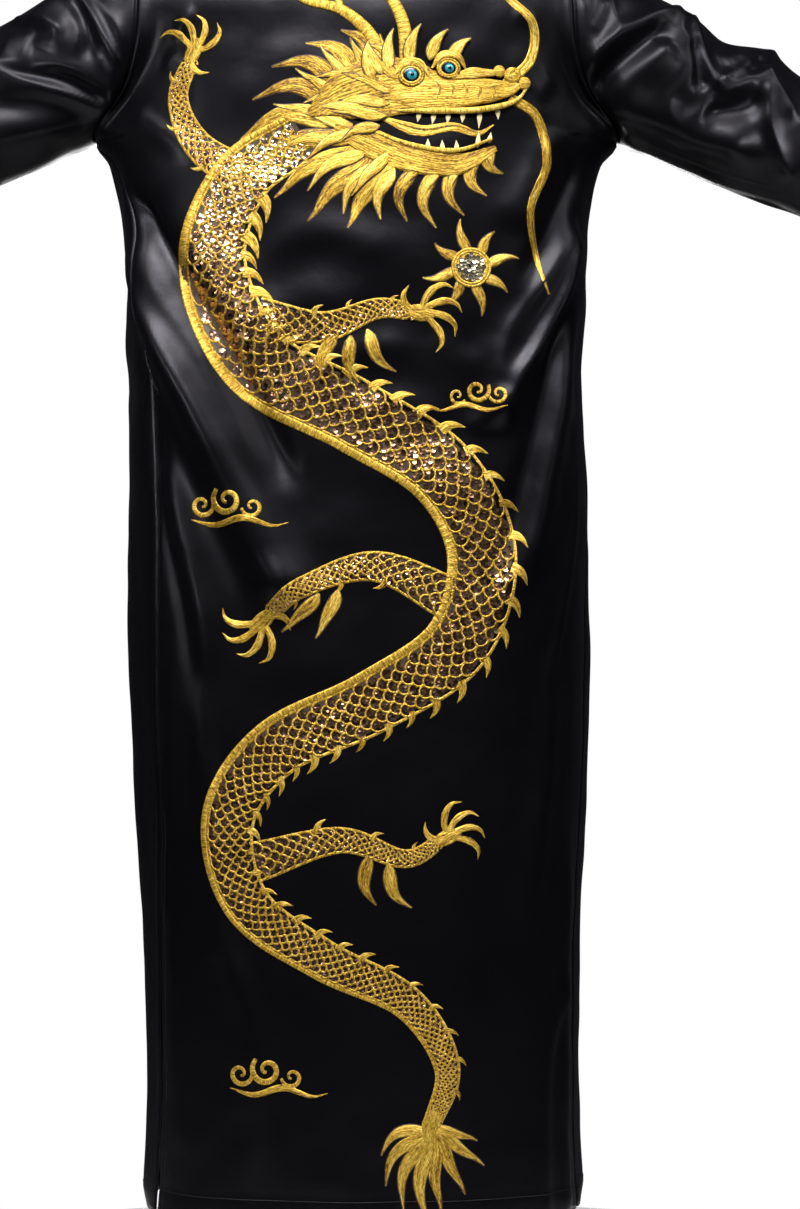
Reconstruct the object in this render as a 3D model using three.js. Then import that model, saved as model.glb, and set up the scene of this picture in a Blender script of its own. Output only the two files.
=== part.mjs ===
// A long duster coat that hangs as it is worn: hollow, open in front, its sleeves held out to the sides.
// Millimetres. +Z is up, the front faces -Y and the wearer's left is +X.
// The origin is the middle of the neck, level with the neck ends of the shoulder seams.
import * as THREE from 'three';

const WALL = 1.6; // satin with its turned edges, taken as one thickness
const SEAM_GAP = 0.3; // between the pieces at a seam
const SQUARENESS = 0.045; // leans the body's rings from an ellipse towards a rounded box
const GIRTH_RADIUS = 185; // girth coordinate = angle round the body, in radians, times this
const ROUND_PER_DEGREE = 1.1; // the same for a sleeve: millimetres of cloth per degree round it

const NECK = { halfWidth: 75, backDepth: 55, backDrop: 20, frontDepth: 75, frontDrop: 85 };
const SHOULDER = { x: 205, drop: 35 };
const UNDERARM_DROP = 243;
const HEM_DROP = 1300;
const ARMHOLE_HALF_DEPTH = 80;
const YOKE = { fall: 0.25, curve: 2.4, roundFrom: 100 }; // how the yoke's depth falls off to the armhole
const FLARE_POWER = 8; // how close to the very side the underarm's flare keeps
const ARMHOLE_POWER = 20; // how close to the armhole a panel keeps the armhole's own depth
const SLIT = { drop: 906, gapAtHem: 8 };
const FRONT_GAP = { neck: 24, hem: 70 };
const SLEEVE_SLOPE = THREE.MathUtils.degToRad(24.5); // below level
const CUFF_REACH = 803; // along the sleeve's own line, from the origin
const SEAM_BLEND = 0.16; // share of a sleeve over which it leaves the armhole's shape
const MITRE_LIMIT = 0.75; // keeps a wall's edge from growing too thick where a seam turns sharply
const FLAT_AT_SEAM = { panel: 0.12, shoulder: 0.9, sleeve: 0.06 }; // where folds have not yet begun
const FOLD_FADE = 0.25; // share of a fold's length over which it rises, and falls, at its ends

const ARMHOLE_ROWS = 14;
const NECK_COLUMNS = 4;
const SHOULDER_COLUMNS = 10;
const SLEEVE_ROWS = 18;
const SLEEVE_CROWDING = 1.35; // above 1, the sleeve's rows lie closer near the armhole
const SPACING_STEPS = 120; // chords by which a ring's length is measured
const HALVINGS = 30; // for reading an angle back from its place across
const BODY_BANDS = [
  { from: UNDERARM_DROP, to: 640, rows: 16 },
  { from: 640, to: HEM_DROP, rows: 10 },
];

// Turns rows of numbers into rows with named columns.
function table(names, rows) {
  return rows.map((row) => Object.fromEntries(names.map((name, k) => [name, row[k]])));
}

// Above the underarm: the armhole seam's distance from the middle, and the depths at mid back and front.
const UPPER = table(['drop', 'seam', 'back', 'front'], [
  [35, 205, 70, 84],
  [70, 208.5, 88, 92],
  [110, 212, 99, 99],
  [154, 215, 106, 107],
  [186, 222, 108.6, 109.9],
  [209, 234, 110, 111.5],
  [225, 248, 110.8, 112.6],
  [243, 260, 112, 114],
]);

// Below the underarm: half widths to the wearer's left and right, and the same depths.
const BODY = table(['drop', 'left', 'right', 'back', 'front'], [
  [243, 260, 260, 112, 114],
  [266, 246.5, 243.5, 113.5, 115.8],
  [312, 235.5, 233.5, 116.6, 119.8],
  [355, 230.5, 231, 118, 123],
  [400, 229, 229, 118, 124],
  [470, 227.5, 223.5, 117, 123],
  [531, 227, 227.5, 117, 122],
  [620, 226, 230.5, 119, 122],
  [727, 223.5, 228.5, 122, 123],
  [804, 220, 227, 124, 125],
  [906, 215, 224.5, 127, 127],
  [1000, 209.5, 219, 129, 128],
  [1098, 204.5, 217.5, 130, 129],
  [1197, 203.5, 217.5, 131, 130],
  [1300, 208, 222, 132, 130],
]);

// How much of the half width is a flare at the very side, where the underarm draws the cloth out:
// above the underarm, and below it.
const FLARE_ABOVE = table(['drop', 'width'], [
  [35, 0],
  [154, 0],
  [186, 3],
  [209, 10],
  [225, 20],
  [243, 31],
]);
const FLARE_BELOW = table(['drop', 'width'], [
  [243, 31],
  [266, 17],
  [312, 7],
  [355, 2],
  [400, 0],
]);

// Degrees from mid back to the side seams.
const SIDE_SEAM = table(['drop', 'left', 'right'], [
  [243, 90, 90],
  [266, 78, 88],
  [300, 70, 86],
  [358, 61, 84],
  [411, 58, 83],
  [486, 54, 82],
  [600, 52, 81],
  [720, 53, 80],
  [800, 55, 79],
  [911, 56, 78],
  [1091, 63, 77],
  [1300, 64.5, 77],
]);

// Along each sleeve: heights of its top and underside off its line, and half its depth.
const SLEEVE_COLUMNS = ['reach', 'top', 'under', 'depth'];
const LEFT_SLEEVE = table(SLEEVE_COLUMNS, [
  [200, 53, -112, 80],
  [260, 45, -113, 79],
  [322, 37, -114, 76],
  [378, 30, -113, 72],
  [442, 30, -111.5, 69],
  [520, 27, -106, 65],
  [620, 22, -98, 60],
  [720, 18, -90, 56],
  [803, 16, -86, 52],
]);
const RIGHT_SLEEVE = table(SLEEVE_COLUMNS, [
  [200, 53, -111, 80],
  [260, 43, -111, 79],
  [300, 35, -110, 77],
  [342, 33, -109, 74],
  [364, 29, -109, 72],
  [392, 20.5, -109.5, 70],
  [431, 30, -110, 68],
  [478, 21, -108.5, 66],
  [533, 23, -103, 63],
  [620, 20, -97, 60],
  [720, 17, -90, 56],
  [803, 16, -86, 52],
]);

// Folds of the body: girth coordinate (the wearer's left is +, mid front is at 581) and drop at both ends,
// the middle's bow, the half width and the height. A trough has a negative height.
const FOLD_COLUMNS = ['u0', 'v0', 'u1', 'v1', 'bow', 'width', 'height'];
const BODY_FOLDS = table(FOLD_COLUMNS, [
  [245, 285, 48, 655, -8, 17, 6],
  [196, 340, 66, 540, -10, 18, -6],
  [126, 330, 44, 490, -6, 24, 4],
  [-214, 300, -96, 525, 6, 17, 6],
  [-160, 350, -90, 500, 8, 17, -4],
  [-168, 225, -115, 360, 4, 24, 3],
  [-214, 450, -92, 715, 4, 28, 5],
  [126, 700, 72, 1270, 10, 24, 4],
  [-172, 720, -136, 1090, 6, 24, 4],
  [-232, 1060, -160, 1310, 20, 26, 5],
  [30, 760, 4, 1310, 8, 34, 3],
  [252, 640, 262, 1310, 6, 30, 5],
  [-292, 620, -300, 1310, 8, 30, 5],
  [330, 300, 420, 620, 12, 22, 6],
  [-340, 310, -430, 600, 10, 22, 6],
  [392, 260, 470, 470, 8, 20, -5],
  [-385, 270, -455, 455, 8, 20, -4],
  [364, 620, 352, 1310, 14, 34, 7],
  [-372, 700, -360, 1310, 12, 34, 6],
  [452, 540, 470, 1310, 10, 36, -6],
  [-446, 600, -468, 1310, 10, 36, -6],
  [518, 420, 534, 1200, 8, 26, 4],
  [-520, 500, -528, 1310, 8, 26, 5],
]);

// Folds of the sleeves: reach and millimetres round from the top (behind is +) at both ends, and the rest.
const LEFT_SLEEVE_FOLDS = table(FOLD_COLUMNS, [
  [295, 56, 279, 136, -6, 13, 4],
  [276, 64, 268, 140, 8, 13, -5],
  [405, 70, 296, 146, -10, 14, 5],
  [400, 96, 300, 160, -8, 14, -5],
  [345, 22, 310, 96, -14, 15, 5],
  [420, 118, 300, 165, 6, 18, 4],
  [470, 20, 452, 130, 10, 17, 5],
  [540, 10, 510, 120, -12, 18, -5],
  [330, -60, 286, -130, 8, 16, 5],
  [420, -40, 320, -140, 10, 16, -5],
  [500, -30, 440, -130, -8, 18, 5],
  [640, 20, 600, 110, 8, 18, 4],
  [660, -110, 610, -20, 8, 18, 4],
  [730, -60, 700, 60, 6, 18, -4],
]);
const RIGHT_SLEEVE_FOLDS = table(FOLD_COLUMNS, [
  [250, 84, 282, 136, 5, 13, 5],
  [280, 134, 330, 48, -10, 14, -5],
  [334, 70, 346, 118, 4, 24, 6],
  [352, 30, 406, 97, -12, 14, 5],
  [398, 48, 424, 84, -6, 13, -4],
  [440, 6, 490, 90, 6, 14, 5],
  [460, 84, 496, 126, 4, 13, 4],
  [290, 152, 470, 124, 8, 18, 4],
  [344, 158, 520, 150, 6, 16, -4],
  [330, -50, 280, -124, 8, 16, 5],
  [440, -30, 330, -136, 10, 16, -5],
  [520, -30, 470, -130, -8, 18, 5],
  [560, 10, 590, 120, 10, 18, -4],
  [650, 110, 610, 20, 8, 18, 4],
  [700, -110, 640, -20, 8, 18, 4],
]);

// A column of a table at a value of its first column, on a smooth curve through the rows.
function read(rows, column, at) {
  const key = Object.keys(rows[0])[0];
  const last = rows.length - 1;
  const where = Math.min(Math.max(at, rows[0][key]), rows[last][key]);
  let k = 0;
  while (k < last - 1 && rows[k + 1][key] < where) {
    k += 1;
  }
  const slope = (n) => {
    const before = rows[Math.max(n - 1, 0)];
    const after = rows[Math.min(n + 1, last)];
    return (after[column] - before[column]) / (after[key] - before[key]);
  };
  const span = rows[k + 1][key] - rows[k][key];
  const t = (where - rows[k][key]) / span;
  const start = rows[k][column] * (1 + 2 * t) + span * slope(k) * t;
  const end = rows[k + 1][column] * (3 - 2 * t) + span * slope(k + 1) * (t - 1);
  return start * (1 - t) ** 2 + end * t ** 2;
}

// 0 below 0, 1 above 1 and a smooth step between.
function ease(t) {
  const clamped = Math.min(Math.max(t, 0), 1);
  return clamped ** 2 * (3 - 2 * clamped);
}

// Height of the folds at a point (u, v) of the cloth: each is bell-shaped across its bowed line and
// fades out towards both ends.
function foldHeight(folds, u, v) {
  let height = 0;
  for (const fold of folds) {
    const du = fold.u1 - fold.u0;
    const dv = fold.v1 - fold.v0;
    const length = Math.hypot(du, dv);
    const along = ((u - fold.u0) * du + (v - fold.v0) * dv) / length ** 2;
    const middle = Math.min(Math.max(along, 0), 1);
    const off = ((v - fold.v0) * du - (u - fold.u0) * dv) / length - 4 * fold.bow * middle * (1 - middle);
    const fade = ease(along / FOLD_FADE) * ease((1 - along) / FOLD_FADE);
    height += fold.height * fade * Math.exp(-((off / fold.width) ** 2));
  }
  return height;
}

// Across and through a ring of the body, as shares of its half width and depth, t radians from its middle.
function ringAcross(t) {
  return (Math.sin(t) + SQUARENESS * Math.sin(3 * t)) / (1 - SQUARENESS);
}
function ringThrough(t) {
  return (Math.cos(t) - SQUARENESS * Math.cos(3 * t)) / (1 - SQUARENESS);
}

// The angle in a quarter ring at which ringAcross has a given value, by halving.
function ringAngle(across) {
  let low = 0;
  let high = Math.PI / 2;
  for (let k = 0; k < HALVINGS; k += 1) {
    const middle = (low + high) / 2;
    if (ringAcross(middle) < across) {
      low = middle;
    } else {
      high = middle;
    }
  }
  return low;
}

// Distance from the middle at a share of a half width, with the flare kept to the very side.
function sideways(share, half, drop) {
  const flare = read(drop < UNDERARM_DROP ? FLARE_ABOVE : FLARE_BELOW, 'width', drop);
  return share * (half - flare) + flare * share ** FLARE_POWER;
}

// A point of the body's ring at a drop; the angle is in radians from mid back, the wearer's left is +.
function ringPoint(angle, drop) {
  const half = read(BODY, angle > 0 ? 'left' : 'right', drop);
  const through = ringThrough(angle);
  const depth = read(BODY, through > 0 ? 'back' : 'front', drop);
  const across = sideways(Math.abs(ringAcross(angle)), half, drop);
  return new THREE.Vector3(Math.sign(angle) * across, depth * through, -drop);
}

// Angles from one to another, evenly spaced along the cloth of the ring at a drop.
function spacedAngles(from, to, drop, count) {
  const lengths = [0];
  let before = ringPoint(from, drop);
  for (let k = 1; k <= SPACING_STEPS; k += 1) {
    const point = ringPoint(from + ((to - from) * k) / SPACING_STEPS, drop);
    lengths.push(lengths[k - 1] + point.distanceTo(before));
    before = point;
  }
  const angles = [];
  let k = 0;
  for (let n = 0; n <= count; n += 1) {
    const target = (lengths[SPACING_STEPS] * n) / count;
    while (k < SPACING_STEPS - 1 && lengths[k + 1] < target) {
      k += 1;
    }
    const share = (target - lengths[k]) / (lengths[k + 1] - lengths[k]);
    angles.push(from + ((to - from) * (k + share)) / SPACING_STEPS);
  }
  return angles;
}

// Drops of the rows below the underarm, which all the panels share.
const BODY_ROWS = BODY_BANDS.flatMap(({ from, to, rows }) => {
  return Array.from({ length: rows }, (_, k) => from + ((to - from) * (k + 1)) / rows);
});

// Shares of the shoulder's half width at which one half of a panel has its columns: close together
// round the neck, then even to the shoulder's tip. The first is at the given distance from the middle.
function shoulderShares(start) {
  const neckShare = NECK.halfWidth / SHOULDER.x;
  const first = Math.asin(start / NECK.halfWidth);
  const shares = [];
  for (let k = 0; k < NECK_COLUMNS; k += 1) {
    shares.push(neckShare * Math.sin(first + ((Math.PI / 2 - first) * k) / NECK_COLUMNS));
  }
  for (let k = 0; k <= SHOULDER_COLUMNS; k += 1) {
    shares.push(neckShare + ((1 - neckShare) * k) / SHOULDER_COLUMNS);
  }
  return shares;
}

// The upper edge over a share of the shoulder's half width: the neck's curve, then the shoulder seam.
function upperEdge(share, side) {
  const x = share * SHOULDER.x;
  const inNeck = Math.sqrt(Math.max(1 - (x / NECK.halfWidth) ** 2, 0));
  const depth = side === 'back' ? NECK.backDepth : NECK.frontDepth;
  const neckDrop = side === 'back' ? NECK.backDrop : NECK.frontDrop;
  const slope = Math.max(x - NECK.halfWidth, 0) / (SHOULDER.x - NECK.halfWidth);
  return { depth: depth * inNeck, drop: neckDrop * inNeck + SHOULDER.drop * slope };
}

// A point between the upper edge and the underarm. phi goes from 0 at the shoulder to pi at the underarm,
// as it does round the armhole; topShare and ringShare are the column's place at the two ends.
function yokePoint(phi, topShare, ringShare, hand, side) {
  const down = (1 - Math.cos(phi)) / 2;
  const lower = phi > Math.PI / 2;
  const share = topShare + (ringShare - topShare) * ease(2 * down - 1);
  const edge = upperEdge(share, side);
  const drop = edge.drop * (1 - down) + UNDERARM_DROP * down;
  const seamDrop = SHOULDER.drop * (1 - down) + UNDERARM_DROP * down;
  const angle = ringAngle(share);
  const round = ease((drop - YOKE.roundFrom) / (UNDERARM_DROP - YOKE.roundFrom));
  const seamRound = ease((seamDrop - YOKE.roundFrom) / (UNDERARM_DROP - YOKE.roundFrom));
  const middle = read(UPPER, side, drop);
  const curve = (1 - YOKE.fall * share ** YOKE.curve) * (1 - round) + ringThrough(angle) * round;
  const curveAtEdge = (1 - YOKE.fall) * (1 - seamRound);
  const edgeDepth = ARMHOLE_HALF_DEPTH * (lower ? Math.sin(phi) : 1);
  const panelDepth = middle * curve + (edgeDepth - middle * curveAtEdge) * share ** ARMHOLE_POWER;
  const away = lower ? 1 : Math.sin(phi);
  const depth = edge.depth * (1 - away) + panelDepth * away;
  const across = sideways(share, read(UPPER, 'seam', seamDrop), seamDrop);
  const point = new THREE.Vector3(hand * across, side === 'back' ? depth : -depth, -drop);
  return { point, girth: hand * (side === 'back' ? angle : Math.PI - angle) * GIRTH_RADIUS };
}

// Outward normals of a grid, from each point's neighbours along and down it.
function gridNormals(points, closed, facing) {
  const lastRow = points.length - 1;
  const count = points[0].length;
  return points.map((row, j) => row.map((_, i) => {
    const before = closed ? (i + count - 1) % count : Math.max(i - 1, 0);
    const after = closed ? (i + 1) % count : Math.min(i + 1, count - 1);
    const along = row[after].clone().sub(row[before]);
    const down = points[Math.min(j + 1, lastRow)][i].clone().sub(points[Math.max(j - 1, 0)][i]);
    return along.cross(down).normalize().multiplyScalar(facing);
  }));
}

// A piece of cloth: a grid of outer points lifted by its folds, with normals and room for seam offsets.
function clothPiece(grid, folds, closed, facing) {
  const flat = grid.map((row) => row.map((entry) => entry.point));
  const normals = gridNormals(flat, closed, facing);
  const points = grid.map((row, j) => row.map((entry, i) => {
    const lift = foldHeight(folds, entry.u, entry.v) * entry.free;
    return entry.point.clone().addScaledVector(normals[j][i], lift);
  }));
  const offsets = points.map((row) => row.map(() => new THREE.Vector3()));
  return { points, normals: gridNormals(points, closed, facing), offsets, closed, facing };
}

// How free the cloth is to fold: not at all at the armhole's seam and at the shoulder, where it lies flat.
function freeOfArmhole(share, phi) {
  return ease((1 - share) / FLAT_AT_SEAM.panel) * ease(phi / FLAT_AT_SEAM.shoulder);
}

// The back, from the right side seam to the left one.
function makeBack() {
  const columns = NECK_COLUMNS + SHOULDER_COLUMNS;
  const shares = shoulderShares(0);
  const ring = spacedAngles(0, Math.PI / 2, UNDERARM_DROP, columns);
  const grid = [];
  for (let j = 0; j <= ARMHOLE_ROWS; j += 1) {
    const phi = (Math.PI * j) / ARMHOLE_ROWS;
    const row = [];
    for (let i = -columns; i <= columns; i += 1) {
      const n = Math.abs(i);
      const { point, girth } = yokePoint(phi, shares[n], ringAcross(ring[n]), Math.sign(i) || 1, 'back');
      row.push({ point, u: girth, v: -point.z, free: freeOfArmhole(shares[n], phi) });
    }
    grid.push(row);
  }
  for (const drop of BODY_ROWS) {
    const right = -THREE.MathUtils.degToRad(read(SIDE_SEAM, 'right', drop));
    const left = THREE.MathUtils.degToRad(read(SIDE_SEAM, 'left', drop));
    grid.push(bodyRow([
      ...spacedAngles(right, 0, drop, columns),
      ...spacedAngles(0, left, drop, columns).slice(1),
    ], drop));
  }
  return clothPiece(grid, BODY_FOLDS, false, 1);
}

// One row of a panel below the underarm.
function bodyRow(angles, drop) {
  return angles.map((angle) => ({
    point: ringPoint(angle, drop),
    u: angle * GIRTH_RADIUS,
    v: drop,
    free: 1,
  }));
}

// Half the opening between the front edges at a drop.
function frontHalfGap(drop) {
  const share = Math.max(drop - NECK.frontDrop, 0) / (HEM_DROP - NECK.frontDrop);
  return (FRONT_GAP.neck * (1 - share) + FRONT_GAP.hem * share) / 2;
}

// A front, from its front edge to the side seam; hand is 1 for the wearer's left and -1 for the right.
function makeFront(hand) {
  const columns = NECK_COLUMNS + SHOULDER_COLUMNS;
  const name = hand > 0 ? 'left' : 'right';
  const shares = shoulderShares(FRONT_GAP.neck / 2);
  const startAngle = (drop) => Math.PI - ringAngle(frontHalfGap(drop) / read(BODY, name, drop));
  const ring = spacedAngles(startAngle(UNDERARM_DROP), Math.PI / 2, UNDERARM_DROP, columns);
  const grid = [];
  for (let j = 0; j <= ARMHOLE_ROWS; j += 1) {
    const phi = (Math.PI * j) / ARMHOLE_ROWS;
    grid.push(shares.map((share, n) => {
      const { point, girth } = yokePoint(phi, share, ringAcross(ring[n]), hand, 'front');
      return { point, u: girth, v: -point.z, free: freeOfArmhole(share, phi) };
    }));
  }
  for (const drop of BODY_ROWS) {
    const seam = THREE.MathUtils.degToRad(read(SIDE_SEAM, name, drop));
    const angles = spacedAngles(startAngle(drop), seam, drop, columns);
    grid.push(bodyRow(angles.map((angle) => hand * angle), drop));
  }
  return clothPiece(grid, BODY_FOLDS, false, -hand);
}

// The armhole's seam as places in the panels' grids, from the shoulder down behind and up in front.
// The shoulder and the underarm belong to both panels.
function armholePlaces(back, front, hand) {
  const backEdge = hand > 0 ? back.points[0].length - 1 : 0;
  const frontEdge = front.points[0].length - 1;
  const behind = (j) => ({ piece: back, j, i: backEdge, inside: back.points[j][backEdge - hand] });
  const before = (j) => ({ piece: front, j, i: frontEdge, inside: front.points[j][frontEdge - 1] });
  const places = [];
  for (let j = 0; j < 2 * ARMHOLE_ROWS; j += 1) {
    if (j === 0 || j === ARMHOLE_ROWS) {
      places.push([behind(j), before(j)]);
    } else {
      places.push([j < ARMHOLE_ROWS ? behind(j) : before(2 * ARMHOLE_ROWS - j)]);
    }
  }
  return places;
}

// A sleeve, from the armhole's seam to the cuff. Its sections are ovals; the first is the seam itself.
function makeSleeve(places, sections, folds, hand) {
  const cos = Math.cos(SLEEVE_SLOPE);
  const sin = Math.sin(SLEEVE_SLOPE);
  const count = places.length;
  const angles = places.map((_, i) => (2 * Math.PI * (i > count / 2 ? i - count : i)) / count);
  const section = (angle, reach) => {
    const top = read(sections, 'top', reach);
    const under = read(sections, 'under', reach);
    const off = (top + under) / 2 + ((top - under) / 2) * Math.cos(angle);
    const depth = read(sections, 'depth', reach) * Math.sin(angle);
    return new THREE.Vector3(hand * (reach * cos + off * sin), depth, off * cos - reach * sin);
  };
  const seam = places.map(([{ piece, j, i }]) => piece.points[j][i]);
  const starts = seam.map((point) => Math.abs(point.x) * cos - point.z * sin);
  const grid = [];
  for (let j = 0; j <= SLEEVE_ROWS; j += 1) {
    const share = (j / SLEEVE_ROWS) ** SLEEVE_CROWDING;
    const hold = 1 - ease(share / SEAM_BLEND);
    grid.push(angles.map((angle, i) => {
      const reach = starts[i] + (CUFF_REACH - starts[i]) * share;
      const toSeam = seam[i].clone().sub(section(angle, starts[i]));
      const point = section(angle, reach).addScaledVector(toSeam, hold);
      const round = THREE.MathUtils.radToDeg(angle) * ROUND_PER_DEGREE;
      return { point, u: reach, v: round, free: ease(share / FLAT_AT_SEAM.sleeve) };
    }));
  }
  return clothPiece(grid, folds, true, -hand);
}

// Brings the edges of two pieces together at a seam. Both walls turn to one direction there, and each
// stops half the gap short of the seam's line. Each pair has the places on one side and one on the other.
function sew(pairs, closed) {
  const seam = pairs.map(({ near: [{ piece, j, i }] }) => piece.points[j][i].clone());
  const count = pairs.length;
  const turned = pairs.map(({ near, far }, k) => {
    const nearNormal = near[0].piece.normals[near[0].j][near[0].i];
    const farNormal = far.piece.normals[far.j][far.i];
    const shared = nearNormal.clone().normalize().add(farNormal.clone().normalize()).normalize();
    const lean = Math.max(shared.dot(farNormal), MITRE_LIMIT);
    const before = seam[closed ? (k + count - 1) % count : Math.max(k - 1, 0)];
    const after = seam[closed ? (k + 1) % count : Math.min(k + 1, count - 1)];
    const side = after.clone().sub(before).cross(shared).normalize();
    return { shared, side, reach: shared.clone().multiplyScalar(1 / lean) };
  });
  pairs.forEach(({ near, far, gap }, k) => {
    const { side, reach } = turned[k];
    for (const { piece, j, i, inside } of near) {
      const outward = Math.sign(side.dot(seam[k].clone().sub(inside))) || 1;
      piece.offsets[j][i].addScaledVector(side, (-outward * gap) / 2);
      piece.normals[j][i] = reach.clone();
    }
    const outward = Math.sign(side.dot(seam[k].clone().sub(far.inside))) || 1;
    far.piece.offsets[far.j][far.i].addScaledVector(side, (-outward * gap) / 2);
    far.piece.normals[far.j][far.i] = reach.clone();
  });
}

// The shoulder seam, from the neck to the shoulder's tip.
function sewShoulder(back, front, hand) {
  const middle = NECK_COLUMNS + SHOULDER_COLUMNS;
  const pairs = [];
  for (let k = NECK_COLUMNS; k <= middle; k += 1) {
    const i = middle + hand * k;
    pairs.push({
      near: [{ piece: back, j: 0, i, inside: back.points[1][i] }],
      far: { piece: front, j: 0, i: k, inside: front.points[1][k] },
      gap: SEAM_GAP,
    });
  }
  sew(pairs, false);
}

// The side seam from the underarm to the slit.
function sewSide(back, front, hand) {
  const backEdge = hand > 0 ? back.points[0].length - 1 : 0;
  const frontEdge = front.points[0].length - 1;
  const pairs = [];
  for (let j = ARMHOLE_ROWS; j < back.points.length; j += 1) {
    const drop = j > ARMHOLE_ROWS ? BODY_ROWS[j - ARMHOLE_ROWS - 1] : UNDERARM_DROP;
    const open = ease((drop - SLIT.drop) / (HEM_DROP - SLIT.drop));
    pairs.push({
      near: [{ piece: back, j, i: backEdge, inside: back.points[j][backEdge - hand] }],
      far: { piece: front, j, i: frontEdge, inside: front.points[j][frontEdge - 1] },
      gap: SEAM_GAP + (SLIT.gapAtHem - SEAM_GAP) * open,
    });
  }
  sew(pairs, false);
}

// The armhole's seam.
function sewArmhole(places, sleeve) {
  sew(places.map((near, i) => ({
    near,
    far: { piece: sleeve, j: 0, i, inside: sleeve.points[1][i] },
    gap: SEAM_GAP,
  })), true);
}

// The closed wall of a piece: its outer grid, the same grid one wall thickness in, and the rims between.
function wallGeometry({ points, normals, offsets, closed, facing }) {
  const rows = points.length;
  const count = points[0].length;
  const outer = points.flatMap((row, j) => row.map((point, i) => point.clone().add(offsets[j][i])));
  const inner = outer.map((point, k) => {
    const normal = normals[Math.floor(k / count)][k % count];
    return point.clone().addScaledVector(normal, -WALL);
  });
  const total = outer.length;
  const triangles = [];
  const at = (j, i) => j * count + (i % count);
  const face = (a, b, c) => triangles.push(...(facing > 0 ? [a, b, c] : [a, c, b]));
  const rim = (from, to) => {
    face(to, from, from + total);
    face(to, from + total, to + total);
  };
  const cells = closed ? count : count - 1;
  for (let j = 0; j < rows - 1; j += 1) {
    for (let i = 0; i < cells; i += 1) {
      const [a, b, c, d] = [at(j, i), at(j, i + 1), at(j + 1, i + 1), at(j + 1, i)];
      face(a, b, c);
      face(a, c, d);
      face(a + total, c + total, b + total);
      face(a + total, d + total, c + total);
    }
    if (!closed) {
      rim(at(j, count - 1), at(j + 1, count - 1));
      rim(at(j + 1, 0), at(j, 0));
    }
  }
  for (let i = 0; i < cells; i += 1) {
    rim(at(0, i), at(0, i + 1));
    rim(at(rows - 1, i + 1), at(rows - 1, i));
  }
  const geometry = new THREE.BufferGeometry();
  geometry.setFromPoints([...outer, ...inner]);
  geometry.setIndex(triangles);
  return geometry;
}

function satin() {
  return new THREE.MeshStandardMaterial({ color: 0x0b0a0d, roughness: 0.38, metalness: 0 });
}

const back = makeBack();
const frontLeft = makeFront(1);
const frontRight = makeFront(-1);
const leftArmhole = armholePlaces(back, frontLeft, 1);
const rightArmhole = armholePlaces(back, frontRight, -1);
const sleeveLeft = makeSleeve(leftArmhole, LEFT_SLEEVE, LEFT_SLEEVE_FOLDS, 1);
const sleeveRight = makeSleeve(rightArmhole, RIGHT_SLEEVE, RIGHT_SLEEVE_FOLDS, -1);

sewShoulder(back, frontLeft, 1);
sewShoulder(back, frontRight, -1);
sewSide(back, frontLeft, 1);
sewSide(back, frontRight, -1);
sewArmhole(leftArmhole, sleeveLeft);
sewArmhole(rightArmhole, sleeveRight);

const coat = new THREE.Group();
const pieces = {
  back,
  front_left: frontLeft,
  front_right: frontRight,
  sleeve_left: sleeveLeft,
  sleeve_right: sleeveRight,
};
for (const [name, piece] of Object.entries(pieces)) {
  const mesh = new THREE.Mesh(wallGeometry(piece), satin());
  mesh.name = name;
  coat.add(mesh);
}

export default coat;
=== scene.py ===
"""A long black satin duster coat, worn shape, with a stitched and sequinned dragon down its back.

Sizes in the tables are millimetres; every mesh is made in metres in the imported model's frame:
+Z up, the front faces -Y, +X is the wearer's left, the origin is the middle of the neck.
"""
import math

import bpy
import numpy as np
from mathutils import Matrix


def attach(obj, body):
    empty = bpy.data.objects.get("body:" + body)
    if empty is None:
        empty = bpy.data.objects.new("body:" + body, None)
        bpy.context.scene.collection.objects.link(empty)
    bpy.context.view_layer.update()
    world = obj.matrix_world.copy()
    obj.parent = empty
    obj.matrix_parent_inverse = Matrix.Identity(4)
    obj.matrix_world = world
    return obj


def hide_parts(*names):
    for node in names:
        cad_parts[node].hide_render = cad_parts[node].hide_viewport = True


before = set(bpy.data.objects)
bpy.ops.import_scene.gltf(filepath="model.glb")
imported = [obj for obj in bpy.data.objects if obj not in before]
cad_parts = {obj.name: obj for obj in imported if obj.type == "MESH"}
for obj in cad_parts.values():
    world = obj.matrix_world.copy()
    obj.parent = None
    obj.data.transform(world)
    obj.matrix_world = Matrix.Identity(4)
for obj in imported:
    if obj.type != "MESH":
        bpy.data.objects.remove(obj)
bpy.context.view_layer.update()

MM = 0.001
ROOT = "root"
SIDES = {1: "left", -1: "right"}

# The cut
SQUARENESS = 0.045
GIRTH_RADIUS = 185.0
ROUND_PER_DEGREE = 1.1
NECK = {"half_width": 75.0, "back_depth": 55.0, "back_drop": 20.0, "front_depth": 75.0, "front_drop": 85.0}
SHOULDER_X, SHOULDER_DROP = 205.0, 35.0
UNDERARM_DROP, HEM_DROP = 243.0, 1300.0
ARMHOLE_HALF_DEPTH = 80.0
YOKE_FALL, YOKE_CURVE, YOKE_ROUND_FROM = 0.25, 2.4, 100.0
FLARE_POWER, ARMHOLE_POWER = 8, 20
SLIT_DROP, SLIT_GAP_AT_HEM = 906.0, 8.0
FRONT_GAP_NECK, FRONT_GAP_HEM = 24.0, 70.0
SLEEVE_SLOPE = math.radians(24.5)
CUFF_REACH = 803.0
SEAM_BLEND = 0.16
SEAM_GAP, SEAM_TUCK, SEAM_DRAW = 0.3, 0.5, 0.05

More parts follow.
